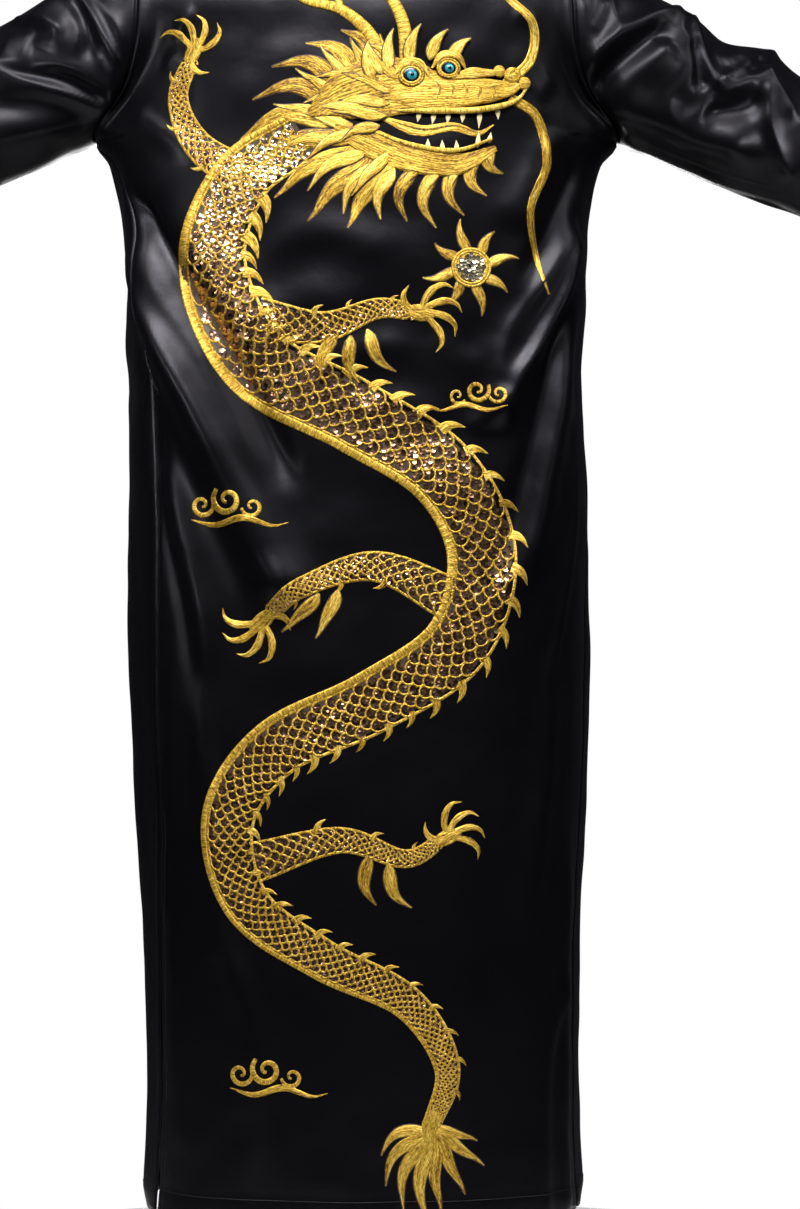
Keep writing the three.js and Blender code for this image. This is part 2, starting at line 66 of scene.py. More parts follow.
# The cloth
CLOTH = 0.9
HEM_FOLD = 1.7
HEM_DEPTH = 26.0
HEM_RISE, HEM_PRESS, HEM_LINE = 0.5, 0.6, 2.2
SIDE_CALM, TOP_CALM = 0.07, 0.7
WAVE_LENGTHS, WAVE_STEEPNESS = np.geomspace(34.0, 150.0, 22), 0.0026
SKIRT_SHARE, CALM_DROP, CALM_SPAN = 0.45, 760, 400
BODY_SEED, SLEEVE_SEED, MOTIF_SEED = 3, 5, 7


def table(names, *rows):
    """Rows of numbers as one array for each named column."""
    return dict(zip(names, np.array(rows, float).T))


UPPER = table(
    ("drop", "seam", "back", "front"),
    (35, 205, 72, 84), (70, 208.5, 92, 92), (110, 212, 101.3, 99), (154, 215, 106.2, 107),
    (186, 222, 108.6, 109.9), (209, 234, 110, 111.5), (225, 248.5, 110.8, 112.6), (236, 258.2, 111.5, 113.4),
    (243, 260, 112, 114))
BODY = table(
    ("drop", "left", "right", "back", "front"),
    (243, 260, 260, 112, 114), (250, 258.6, 258.1, 112.4, 114.5), (266, 246.5, 243.5, 113.5, 115.8),
    (312, 235.5, 233.5, 116.6, 119.8), (355, 230.5, 231, 118, 123), (400, 229, 229, 118, 124),
    (470, 227.5, 223.5, 117, 123), (531, 227, 227.5, 117, 122), (620, 226, 230.5, 119, 122),
    (727, 223.5, 228.5, 122, 123), (804, 220, 227, 124, 125), (906, 215, 224.5, 127, 127),
    (1000, 209.5, 219, 129, 128), (1098, 204.5, 217.5, 130, 129), (1197, 203.5, 217.5, 131, 130),
    (1300, 208, 222, 132, 130))
FLARE_ABOVE = table(
    ("drop", "width"),
    (35, 0), (154, 0), (186, 3), (209, 10), (225, 20.5), (236, 29.6), (243, 31))
FLARE_BELOW = table(("drop", "width"), (243, 31), (250, 29.6), (266, 17), (312, 7), (355, 2), (400, 0))
SIDE_SEAM = table(
    ("drop", "left", "right"),
    (243, 90, 90), (266, 78, 88), (300, 70, 86), (358, 61, 84), (411, 58, 83), (486, 54, 82),
    (600, 52, 81), (720, 53, 80), (800, 55, 79), (911, 56, 78), (1091, 63, 77), (1300, 64.5, 77))
SLEEVE_COLUMNS = ("reach", "top", "under", "depth")
SLEEVES = {
    1: table(
        SLEEVE_COLUMNS,
        (200, 53, -112, 80), (260, 45, -113, 79), (322, 37, -114, 76), (378, 30, -113, 72),
        (442, 30, -111.5, 69), (520, 27, -106, 65), (620, 22, -98, 60), (720, 18, -90, 56),
        (803, 16, -86, 52)),
    -1: table(
        SLEEVE_COLUMNS,
        (200, 53, -111, 80), (260, 43, -111, 79), (300, 35, -110, 77), (342, 33, -109, 74),
        (364, 29, -109, 72), (392, 20.5, -109.5, 70), (431, 30, -110, 68), (478, 21, -108.5, 66),
        (533, 23, -103, 63), (620, 20, -97, 60), (720, 17, -90, 56), (803, 16, -86, 52)),
}


def read(rows, column, at):
    """A column of a table at values of its first column: cubic curves through the rows, each row's
    slope that of the line through its two neighbours."""
    key = rows[next(iter(rows))]
    value = rows[column]
    slope = np.empty_like(value)
    slope[1:-1] = (value[2:] - value[:-2]) / (key[2:] - key[:-2])
    slope[0] = (value[1] - value[0]) / (key[1] - key[0])
    slope[-1] = (value[-1] - value[-2]) / (key[-1] - key[-2])
    where = np.clip(np.asarray(at, float), key[0], key[-1])
    k = np.clip(np.searchsorted(key, where, side="left") - 1, 0, len(key) - 2)
    span = key[k + 1] - key[k]
    t = (where - key[k]) / span
    ends = value[k] * (1 + 2 * t) * (1 - t) ** 2 + value[k + 1] * t**2 * (3 - 2 * t)
    return ends + span * (slope[k] * t * (1 - t) ** 2 + slope[k + 1] * t**2 * (t - 1))


def ease(t):
    """0 below 0, 1 above 1, 3t^2 - 2t^3 between."""
    t = np.clip(t, 0, 1)
    return t**2 * (3 - 2 * t)


def ring_across(t):
    """Share of the half width: (sin t + e sin 3t) / (1 - e)."""
    return (np.sin(t) + SQUARENESS * np.sin(3 * t)) / (1 - SQUARENESS)


def ring_through(t):
    """Share of the depth: (cos t - e cos 3t) / (1 - e)."""
    return (np.cos(t) - SQUARENESS * np.cos(3 * t)) / (1 - SQUARENESS)


QUARTER = np.linspace(0, math.pi / 2, 2001)


def ring_angle(share):
    """The angle at which ring_across has a value from 0 to 1, read back off its curve."""
    return np.interp(share, ring_across(QUARTER), QUARTER)


def sideways(share, half, drop):
    """share of the half width, with the underarm's flare kept to the very side by a high power."""
    above = np.asarray(drop) < UNDERARM_DROP
    flare = np.where(above, read(FLARE_ABOVE, "width", drop), read(FLARE_BELOW, "width", drop))
    return share * (half - flare) + flare * share**FLARE_POWER


def ring_point(angle, drop):
    """A point of the body's ring: half width times ring_across, depth times ring_through."""
    half = np.where(angle > 0, read(BODY, "left", drop), read(BODY, "right", drop))
    through = ring_through(angle)
    depth = np.where(through > 0, read(BODY, "back", drop), read(BODY, "front", drop))
    across = sideways(np.abs(ring_across(angle)), half, drop)
    return np.stack([np.sign(angle) * across, depth * through, -drop + 0 * across], -1)


def upper_edge(share, side):
    """Depth and drop of the upper edge: a quarter ellipse round the neck, then the sloping shoulder."""
    x = share * SHOULDER_X
    in_neck = np.sqrt(np.clip(1 - (x / NECK["half_width"]) ** 2, 0, None))
    slope = np.clip(x - NECK["half_width"], 0, None) / (SHOULDER_X - NECK["half_width"])
    return NECK[side + "_depth"] * in_neck, NECK[side + "_drop"] * in_neck + SHOULDER_DROP * slope


def yoke_surface(share, drop, down, side):
    """Depth of the yoke: the upper edge's depth runs out by the sine of phi into the panel's, which goes
    from a flat curve above to the body's ring below and keeps the armhole's depth at its very edge."""
    phi = np.arccos(np.clip(1 - 2 * down, -1, 1))
    lower = down > 0.5
    edge_depth, _ = upper_edge(share, side)
    seam_drop = SHOULDER_DROP * (1 - down) + UNDERARM_DROP * down
    span = UNDERARM_DROP - YOKE_ROUND_FROM
    rounding = ease((drop - YOKE_ROUND_FROM) / span)
    seam_rounding = ease((seam_drop - YOKE_ROUND_FROM) / span)
    middle = read(UPPER, side, drop)
    flat = 1 - YOKE_FALL * share**YOKE_CURVE
    curve = flat * (1 - rounding) + ring_through(ring_angle(share)) * rounding
    armhole = ARMHOLE_HALF_DEPTH * np.where(lower, np.sin(phi), 1)
    gap = armhole - middle * (1 - YOKE_FALL) * (1 - seam_rounding)
    panel = middle * curve + gap * share ** (ARMHOLE_POWER * (1 + 1.5 * ease(2 * down - 1)))
    away = np.where(lower, 1, np.sin(phi))
    return edge_depth * (1 - away) + panel * away


def yoke_point(phi, top_share, ring_share, hand, side):
    """A point between the upper edge and the underarm, at phi round the armhole, and its girth place."""
    down = (1 - np.cos(phi)) / 2
    share = top_share + (ring_share - top_share) * ease(2 * down - 1)
    _, edge_drop = upper_edge(share, side)
    drop = edge_drop * (1 - down) + UNDERARM_DROP * down
    seam_drop = SHOULDER_DROP * (1 - down) + UNDERARM_DROP * down
    depth = yoke_surface(share, drop, down, side) * (1 if side == "back" else -1)
    x = hand * sideways(share, read(UPPER, "seam", seam_drop), seam_drop)
    angle = ring_angle(share)
    girth = hand * (angle if side == "back" else math.pi - angle) * GIRTH_RADIUS
    return np.stack([x, depth, -drop], -1), girth, drop, share


def unit(vectors):
    """Vectors at length 1; those of no length stay 0."""
    return vectors / np.maximum(np.linalg.norm(vectors, axis=-1, keepdims=True), 1e-12)


def grid_normals(points, closed, facing):
    """Unit outward normals of a grid: the cross product of the steps along and down it."""
    if closed:
        along = np.roll(points, -1, 1) - np.roll(points, 1, 1)
    else:
        along = np.gradient(points, axis=1)
    return unit(np.cross(along, np.gradient(points, axis=0)) * facing)


# Folds
def fold(width, height, *points, lean=0.0, fade=(0.25, 0.25), crisp=False):
    """A fold along a line of points across the cloth, with its half width and its height. lean makes its
    right flank steeper (as walked from its first point), and fade is the share of its length over which
    it rises at its start and dies away at its end."""
    return {"points": np.array(points, float), "width": width, "height": height, "lean": lean, "fade": fade,
            "crisp": crisp}


def ridge(width, height, *points, lean=0.0, fade=(0.15, 0.15)):
    """A fold with a narrow crest and hollow flanks, as pulled cloth makes it."""
    return fold(width, height, *points, lean=lean, fade=fade, crisp=True)


CURVE_STEPS = 24


def run_along(line):
    """Distance along a line of points from its first one."""
    return np.concatenate([[0], np.cumsum(np.linalg.norm(np.diff(line, axis=0), axis=1))])


def read_line(at, run, line):
    """Points of a line at distances along it, straight between its own."""
    return np.stack([np.interp(at, run, line[:, k]) for k in range(line.shape[1])], -1)


def smooth_path(points, count):
    """Points evenly spaced in length along a Catmull-Rom curve through the given ones, and its length."""
    p = np.vstack([2 * points[0] - points[1], points, 2 * points[-1] - points[-2]])
    t = np.linspace(0, 1, CURVE_STEPS, endpoint=False)[:, None]
    a, b, c, d = p[:-3, None], p[1:-2, None], p[2:-1, None], p[3:, None]
    curve = 0.5 * (2 * b + (c - a) * t + (2 * a - 5 * b + 4 * c - d) * t**2 + (3 * b - a - 3 * c + d) * t**3)
    curve = np.vstack([curve.reshape(-1, points.shape[1]), points[-1]])
    run = run_along(curve)
    return read_line(np.linspace(0, run[-1], count), run, curve), run[-1]


FOLD_STEPS = 28
CREST = 2.2
SOFT_REACH, CRISP_REACH = 3.2, 5.5


def fold_height(folds, u, v, scale=(1, 1)):
    """Height of all folds at (u, v), their points taken times scale. Each is a bell across its line,
    exp(-(off / width)^2), its width less on the side it leans to, times an easing in and out along the
    line. A crisp one is exp(-(sqrt(off^2 + c^2) - c) / width) with a crest of radius c = CREST."""
    height = np.zeros(np.shape(u))
    place = np.stack([u, v], -1)
    for one in folds:
        line, _ = smooth_path(one["points"] * scale, FOLD_STEPS)
        reach = (CRISP_REACH if one["crisp"] else SOFT_REACH) * one["width"] * (1 + abs(one["lean"]))
        near = np.all((place > line.min(0) - reach) & (place < line.max(0) + reach), axis=-1)
        if not near.any():
            continue
        here = place[near]
        start, step = line[:-1], np.diff(line, axis=0)
        t = np.clip(((here[:, None] - start) * step).sum(2) / (step**2).sum(1), 0, 1)
        away = here[:, None] - (start + t[..., None] * step)
        distance = np.linalg.norm(away, axis=2)
        k = distance.argmin(1)
        row = np.arange(len(k))
        off = distance[row, k]
        side = np.sign(step[k, 0] * away[row, k, 1] - step[k, 1] * away[row, k, 0])
        width = one["width"] * (1 - one["lean"] * side)
        along = (k + t[row, k]) / (FOLD_STEPS - 1)
        rise, fall = one["fade"]
        fade = ease(along / rise) * ease((1 - along) / fall)
        bell = (np.sqrt(off**2 + CREST**2) - CREST) / width if one["crisp"] else (off / width) ** 2
        height[near] += one["height"] * fade * np.exp(-bell)
    return height


def unevenness(u, v, seed):
    """The cloth's own soft unevenness: a sum of waves of many directions and lengths, each WAVE_STEEPNESS
    times its length high."""
    waves = np.random.default_rng(seed)
    height = np.zeros(np.shape(u))
    for length in WAVE_LENGTHS:
        way, start = waves.uniform(0, math.pi), waves.uniform(0, 2 * math.pi)
        run = u * math.cos(way) + v * math.sin(way)
        height += WAVE_STEEPNESS * length * np.sin(2 * math.pi * run / length + start)
    return height


BODY_FOLDS = (
    # from the underarms across the back, as the arms draw them
    fold(19, 18, (252, 286), (234, 335), (198, 398), (158, 458), (125, 514), (100, 564), (80, 611),
         (60, 660), (46, 698), (37, 726), fade=(0.42, 0.1)),
    fold(20, 9, (214, 322), (190, 366), (164, 414), (138, 462), (116, 504), (96, 552), (76, 602),
         fade=(0.2, 0.3)),
    ridge(7, 3.0, (202, 350), (160, 402), (126, 446), (104, 486), (86, 523), (61, 594), fade=(0.2, 0.2)),
    ridge(6, 2.4, (212, 368), (186, 402), (149, 455), (116, 510), (92, 560), (72, 606), (52, 658),
          fade=(0.2, 0.2)),
    fold(12, -12, (226, 290), (175, 335), (131, 392), (100, 440), (80, 486), (66, 520), (50, 565),
         (36, 610), fade=(0.15, 0.2)),
    fold(24, 7, (170, 300), (120, 345), (85, 408), (63, 455), (50, 484), fade=(0.4, 0.2)),
    fold(18, 9, (-222, 330), (-190, 374), (-158, 420), (-130, 470), (-110, 512), (-94, 544),
         fade=(0.3, 0.14)),
    ridge(8, 5, (-209, 325), (-185, 352), (-156, 382), (-136, 408), (-118, 434), (-110, 461), (-103, 488),
          (-94, 512), fade=(0.2, 0.2)),
    ridge(8, 8.5, (-213, 322), (-201, 353), (-186, 380), (-172, 410), (-158, 438), (-145, 458), (-131, 475),
          (-118, 498), (-107, 522), (-94, 538)),
    fold(8, -4, (-190, 366), (-160, 408), (-134, 448), (-116, 484)),
    fold(9, 4, (-110, 490), (-98, 519), (-78, 541)),
    fold(20, 7, (-152, 236), (-151, 263), (-144, 288), (-130, 318), (-116, 350)),
    fold(13, -6.5, (-212, 266), (-177, 315), (-149, 361), (-121, 402), fade=(0.2, 0.25)),
    fold(19, 11, (-222, 400), (-204, 450), (-165, 544), (-143, 624), (-119, 684), (-100, 735), lean=-0.1,
         fade=(0.25, 0.3)),
    fold(13, -7, (-205, 370), (-166, 483), (-130, 584), (-108, 664), (-94, 720), fade=(0.3, 0.25)),
    fold(8, 2.5, (-226, 560), (-186, 703), (-150, 815), lean=0.2),
    fold(18, 5, (166, 540), (131, 664), (117, 720), (112, 800)),
    fold(10, -4, (172, 470), (161, 600), (134, 713), (122, 810)),
    fold(26, 4, (60, 650), (40, 720), (30, 800)),
    # small drags at the armholes
    fold(7, 2.5, (158, 155), (133, 125), lean=0.2),
    fold(8, 2, (172, 180), (140, 165), lean=0.2),
    fold(8, 2.2, (-160, 140), (-128, 132), lean=0.2),
    fold(9, 2.4, (-176, 190), (-140, 214), lean=0.2),
    fold(11, 3, (200, 222), (160, 240), (120, 275), lean=0.2),
    # soft swells round the motif
    fold(22, 3.6, (84, 440), (36, 412), (-17, 418)),
    fold(15, 3.0, (47, 503), (3, 460), (-51, 455)),
    fold(18, 3.0, (68, 368), (16, 349), (-30, 375)),
    fold(14, 2.4, (10, 527), (-30, 508), (-58, 537)),
    fold(16, 1.8, (16, 575), (-43, 585), (-80, 623)),
    fold(16, 1.8, (144, 166), (119, 206), (126, 245)),
    fold(24, 1.6, (63, 151), (14, 190), (-38, 180)),
    fold(16, 1.6, (-69, 141), (-90, 198), (-77, 247)),
    fold(14, 1.8, (-122, 158), (-137, 205), (-135, 254)),
    fold(12, 1.8, (-51, 440), (-82, 469), (-107, 440)),
    # pressed lines
    fold(3.2, 0.9, (80, 493), (34, 491), lean=0.3),
    fold(4, 0.8, (150, 640), (100, 655), lean=0.3),
    # the skirt's long soft ones
    fold(15, 5, (132, 720), (113, 874), (111, 934), (105, 1026), (88, 1072), (75, 1130), (72, 1290),
         lean=0.2),
    fold(24, 4, (150, 700), (160, 900), (166, 1100), (160, 1290)),
    fold(17, 5, (-172, 740), (-157, 875), (-145, 981), (-139, 1060)),
    fold(15, 5, (-236, 1060), (-178, 1123), (-163, 1229), (-161, 1310), lean=0.2, fade=(0.25, 0.05)),
    fold(14, 4, (-206, 900), (-214, 1050), (-206, 1310), fade=(0.25, 0.05)),
    fold(34, 4, (30, 760), (12, 1000), (4, 1310), fade=(0.25, 0.05)),
    fold(26, 3.5, (-60, 820), (-74, 1060), (-70, 1310), fade=(0.25, 0.05)),
    # the sides
    fold(26, 6, (252, 560), (258, 900), (262, 1310), fade=(0.25, 0.05)),
    fold(28, 6, (-292, 600), (-298, 900), (-300, 1310), fade=(0.25, 0.05)),
    fold(14, 2.5, (312, 340), (306, 440), (316, 560), lean=0.2, fade=(0.4, 0.3)),
    fold(14, 2.5, (-316, 320), (-308, 400), (-320, 520), lean=0.2, fade=(0.4, 0.3)),
    # the fronts
    fold(15, 9, (346, 268), (370, 400), (430, 620), lean=0.3, fade=(0.16, 0.3)),
    fold(9, 6, (352, 300), (392, 420), (446, 560), lean=0.2),
    fold(15, 9, (-352, 268), (-376, 400), (-436, 600), lean=-0.3, fade=(0.16, 0.3)),
    fold(9, 6, (-366, 310), (-402, 430), (-450, 545), lean=-0.2),
    fold(18, -6, (392, 260), (430, 350), (470, 470)),
    fold(18, -5, (-385, 270), (-420, 350), (-455, 455)),
    fold(30, 9, (364, 620), (372, 900), (352, 1310), lean=0.1, fade=(0.25, 0.05)),
    fold(30, 8, (-372, 700), (-378, 960), (-360, 1310), lean=0.1, fade=(0.25, 0.05)),
    fold(32, -7, (452, 540), (464, 900), (470, 1310), fade=(0.25, 0.05)),
    fold(32, -7, (-446, 600), (-456, 900), (-468, 1310), fade=(0.25, 0.05)),
    fold(22, 5, (518, 420), (528, 800), (534, 1240)),
    fold(22, 6, (-520, 500), (-524, 900), (-528, 1310), fade=(0.25, 0.05)),
    fold(12, 3, (430, 150), (404, 190), (398, 240)),
    fold(12, 3, (-440, 160), (-410, 200), (-400, 250)),
)
# on the sleeves a point is its reach along the arm in mm and its place round it in degrees
SLEEVE_FOLDS = {
    1: (
        ridge(8, 8, (430, 52), (393, 77), (368, 95), (344, 112), (323, 127), (302, 138), (290, 146),
              lean=0.2, fade=(0.2, 0.06)),
        ridge(8, 8, (430, 50), (390, 68), (365, 83), (337, 94), (319, 106), (301, 123), (289, 141),
              lean=-0.1, fade=(0.3, 0.06)),
        fold(9, -8, (396, 72), (357, 91), (325, 113), (298, 136)),
        fold(11, -5, (440, 84), (384, 108), (350, 122), (312, 142)),
        ridge(7, 7, (296, 26), (290, 56), (286, 85), (283, 105), (279, 118), (275, 128), lean=0.2,
              fade=(0.2, 0.06)),
        ridge(6, 3.5, (286, 30), (276, 64), (270, 85), (270, 102), (275, 126), lean=-0.2, fade=(0.2, 0.06)),
        fold(20, 7, (330, 30), (325, 60), (345, 80)),
        ridge(7, 3, (324, 26), (310, 48), (305, 64), (306, 78), (322, 92), lean=0.2),
        fold(8, -4, (296, 50), (298, 82), (313, 100)),
        ridge(7, 3.5, (362, 20), (352, 34), (333, 56), (316, 77), lean=0.3),
        fold(5, -3, (372, 26), (360, 42), (341, 62), (322, 80)),
        fold(15, 4, (380, 50), (352, 72)),
        fold(17, 10, (474, 111), (430, 118), (390, 126), (350, 133), (322, 138), fade=(0.2, 0.4)),
        ridge(12, 5, (470, 20), (452, 70), (462, 118), lean=0.2),
        fold(14, -5, (546, 6), (520, 60), (512, 112)),
        ridge(9, 6.5, (330, -56), (296, -90), (286, -126), lean=-0.3),
        ridge(10, 6.5, (420, -40), (352, -90), (312, -136), lean=-0.3),
        fold(9, -5, (404, -24), (340, -66), (302, -112)),
        ridge(12, 6, (500, -30), (452, -80), (430, -126)),
        ridge(12, 5, (600, 100), (590, 60), (640, 18)),
        ridge(12, 5, (660, -104), (620, -60), (610, -18)),
        fold(14, -4, (736, -60), (706, 0), (710, 60)),
        fold(14, 4, (760, 120), (700, 140), (650, 160)),
    ),
    -1: (
        ridge(7, 4.5, (276, 126), (267, 107), (260, 94), (244, 70), lean=0.1, fade=(0.06, 0.2)),
        ridge(8, 9, (277, 126), (283, 101), (296, 81), (312, 65), (334, 40), (350, 26), lean=-0.2,
              fade=(0.06, 0.15)),
        ridge(5, 2.2, (271, 90), (272, 79), (270, 62)),
        ridge(5, 2.6, (270, 52), (278, 64), (285, 72), (296, 79), fade=(0.3, 0.1)),
        fold(11, -10, (286, 136), (302, 108), (319, 84), (338, 54), fade=(0.1, 0.2)),
        fold(20, 7, (304, 128), (324, 108), (338, 86), (346, 66), fade=(0.3, 0.2)),
        ridge(7, 3.6, (352, 28), (347, 52), (359, 61), (372, 73), (375, 89), (367, 105), (368, 113),
              (384, 119), (395, 111), (405, 97), (408, 83), lean=0.1, fade=(0.08, 0.1)),
        ridge(8, 7, (352, 28), (370, 54), (391, 71), (408, 82), lean=0.1, fade=(0.08, 0.08)),
        fold(8, -6.5, (361, 54), (383, 76), (395, 92)),
        ridge(8, 7, (404, 82), (412, 81), (421, 77), (432, 66), (446, 47), fade=(0.08, 0.08)),
        ridge(6, 3, (409, 78), (413, 68), (422, 58), (421, 47), (406, 40), fade=(0.08, 0.15)),
        fold(11, 4, (400, 62), (404, 46), (396, 24)),
        fold(6, -4, (424, 66), (434, 50), (430, 30)),
        ridge(7, 6, (438, -10), (444, 30), (447, 48), (455, 56), (474, 69), (492, 82), lean=0.1,
              fade=(0.1, 0.15)),
        ridge(7, 4.5, (449, 52), (456, 79), (474, 98), (497, 119), (514, 131), lean=-0.1),
        fold(12, -8, (398, 106), (424, 98), (442, 84), (446, 68)),
        fold(17, 13, (290, 141), (325, 132), (357, 129), (400, 127), (441, 121), (480, 121),
             fade=(0.25, 0.2)),
        fold(8, -4, (330, 158), (404, 160), (517, 148)),
        fold(12, 4, (300, 162), (400, 164), (500, 156)),
        ridge(9, 6.5, (330, -46), (292, -84), (280, -120), lean=0.3),
        ridge(10, 6.5, (440, -28), (366, -84), (322, -132), lean=0.3),
        fold(9, -5, (404, -20), (346, -60), (310, -104)),
        ridge(12, 6, (520, -28), (480, -76), (456, -122)),
        fold(14, -5, (560, 8), (572, 60), (592, 112)),
        ridge(12, 5, (650, 100), (620, 60), (612, 20)),
        ridge(12, 5, (700, -100), (660, -60), (642, -20)),
        fold(13, 4, (770, 20), (730, 60), (724, 110)),
    ),
}


# Meshes
def place_object(name, data, location=(0, 0, 0), rotation=(0, 0, 0)):
    """Puts a mesh, a light or a camera into the scene."""
    obj = bpy.data.objects.new(name, data)
    obj.location = location
    obj.rotation_euler = rotation
    bpy.context.scene.collection.objects.link(obj)
    return obj


def new_object(name, points, faces, uv=None, tone=None):
    """A smooth mesh object from points in millimetres and faces as index rows. uv gives each point's
    place on a flat pattern; tone is a number kept on each point."""
    mesh = bpy.data.meshes.new(name)
    mesh.from_pydata((np.asarray(points) * MM).tolist(), [], faces.tolist())
    mesh.update()
    if uv is not None:
        layer = mesh.uv_layers.new(name="cut")
        corners = np.empty(len(mesh.loops), np.int32)
        mesh.loops.foreach_get("vertex_index", corners)
        layer.data.foreach_set("uv", np.asarray(uv, np.float32)[corners].ravel())
    if tone is not None:
        attribute = mesh.attributes.new("tone", "FLOAT", "POINT")
        attribute.data.foreach_set("value", np.asarray(tone, np.float32))
    mesh.polygons.foreach_set("use_smooth", np.ones(len(mesh.polygons), bool))
    return place_object(name, mesh)


def grid_faces(rows, count, closed, facing=1):
    """Quads of a grid whose points are stored row by row, facing outwards."""
    j, i = np.meshgrid(np.arange(rows - 1), np.arange(count if closed else count - 1), indexing="ij")
    after = (i + 1) % count
    quads = np.stack([j * count + i, j * count + after, (j + 1) * count + after, (j + 1) * count + i], -1)
    quads = quads.reshape(-1, 4)
    return quads if facing > 0 else quads[:, ::-1]


def wall_faces(rows, count, closed, facing):
    """Quads of a wall: its outer grid, its inner grid turned round, and the rims that join their edges."""
    total = rows * count
    outer = grid_faces(rows, count, closed, facing)
    inner = grid_faces(rows, count, closed, -facing) + total
    at = np.arange(total).reshape(rows, count)
    first, last = (np.append(row, row[:1]) if closed else row for row in (at[0], at[-1]))
    edges = [(first[:-1], first[1:]), (last[1:], last[:-1])]
    if not closed:
        edges += [(at[:-1, -1], at[1:, -1]), (at[1:, 0], at[:-1, 0])]
    start, end = np.hstack(edges)
    rim = np.stack([end, start, start + total, end + total], -1)
    return np.vstack([outer, inner, rim if facing > 0 else rim[:, ::-1]])


def cloth_wall(name, points, normals, thickness, closed, facing, uv):
    """A piece of cloth as a closed wall: its outer grid and the same grid moved in by the thickness."""
    rows, count = points.shape[:2]
    inner = points - normals * thickness[..., None]
    both = np.concatenate([points.reshape(-1, 3), inner.reshape(-1, 3)])
    uv = np.concatenate([uv.reshape(-1, 2)] * 2)
    return new_object(name, both, wall_faces(rows, count, closed, facing), uv=uv * MM)


# The panels
NECK_STEPS, SHOULDER_STEPS, YOKE_STEPS, SKIRT_STEPS = 18, 42, 70, 224
LAST = NECK_STEPS + SHOULDER_STEPS
SIDE_CROWDING = 0.73


def column_shares(start):
    """Shares of the shoulder's half width for one half of a panel's columns: sine-spaced round the neck,
    then even out to the shoulder's tip."""
    neck_share = NECK["half_width"] / SHOULDER_X
    first = math.asin(start / NECK["half_width"])
    neck = neck_share * np.sin(first + (math.pi / 2 - first) * np.arange(NECK_STEPS) / NECK_STEPS)
    shoulder = np.linspace(neck_share, 1, SHOULDER_STEPS + 1)
    return np.concatenate([neck, shoulder])


def crowd(u, edge):
    """Angle at a share u of the way to an edge angle, so that columns lie about evenly on the cloth:
    edge times (a u + (1 - a) u^3), a falling as the edge comes round the side."""
    a = 1 - (1 - SIDE_CROWDING) * np.minimum(edge / (math.pi / 2), 1) ** 2
    return edge * (a * u + (1 - a) * u**3)


def front_half_gap(drop):
    """Half the opening between the front edges, growing evenly from the neck to the hem."""
    share = np.clip(drop - NECK["front_drop"], 0, None) / (HEM_DROP - NECK["front_drop"])
    return (FRONT_GAP_NECK * (1 - share) + FRONT_GAP_HEM * share) / 2


def hem_relief(distance):
    """A turned hem: its stitched line is pressed in, and the doubled cloth below stands proud."""
    line = np.exp(-(((distance - HEM_DEPTH) / HEM_LINE) ** 2))
    return HEM_RISE * ease((HEM_DEPTH - distance) / 4) - HEM_PRESS * line


def hem_thickness(distance):
    """The cloth's thickness, with the turned hem's three layers near an edge."""
    return CLOTH + (HEM_FOLD - CLOTH) * ease((HEM_DEPTH - distance) / 3)


def seam_gap(drop):
    """Gap at a side seam: the sewn gap above the slit, and the slit's opening below it."""
    return SEAM_GAP + (SLIT_GAP_AT_HEM - SEAM_GAP) * ease((drop - SLIT_DROP) / (HEM_DROP - SLIT_DROP))


def panel_grid(side, hand, top, ring, angles):
    """A panel's points in rows, with each one's girth, drop and freedom to fold: yoke rows, then rows of
    the body's rings. top and ring are the columns' shares at both ends of the yoke, and angles gives
    their angles at the drops of the lower rows."""
    phi = np.linspace(0, math.pi, YOKE_STEPS + 1)[:, None]
    points, girth, drop, share = yoke_point(phi, top[None], ring, hand, side)
    free = ease((1 - share) / SIDE_CALM) * ease(phi / TOP_CALM)
    rows = np.linspace(UNDERARM_DROP, HEM_DROP, SKIRT_STEPS + 1)[1:, None]
    angle = angles(rows)
    lower = rows + 0 * angle
    return (np.concatenate([points, ring_point(angle, lower)]), np.concatenate([girth, angle * GIRTH_RADIUS]),
            np.concatenate([drop, lower]), np.concatenate([free, 1 + 0 * angle]))


def back_grid():
    """The back from the right side seam to the left."""
    u = np.arange(-LAST, LAST + 1) / LAST
    hand = np.where(u < 0, -1.0, 1.0)
    top = column_shares(0.0)

    def angles(rows):
        seam = np.where(u < 0, read(SIDE_SEAM, "right", rows), read(SIDE_SEAM, "left", rows))
        return hand * crowd(np.abs(u)[None], np.radians(seam))

    ring = ring_across(crowd(np.abs(u), math.pi / 2))
    return panel_grid("back", hand[None], np.concatenate([top[:0:-1], top]), ring[None], angles)


def front_grid(hand):
    """A front from its front edge to the side seam."""
    name = SIDES[hand]
    u = np.arange(LAST + 1) / LAST

    def spread(drop, edge):
        first = ring_angle(front_half_gap(drop) / read(BODY, name, drop))
        return first + crowd(u[None], edge - first)

    def angles(rows):
        return hand * (math.pi - spread(rows, math.pi - np.radians(read(SIDE_SEAM, name, rows))))

    ring = ring_across(spread(np.array([[UNDERARM_DROP]]), np.array([[math.pi / 2]])))
    return panel_grid("front", hand, column_shares(FRONT_GAP_NECK / 2), ring, angles)


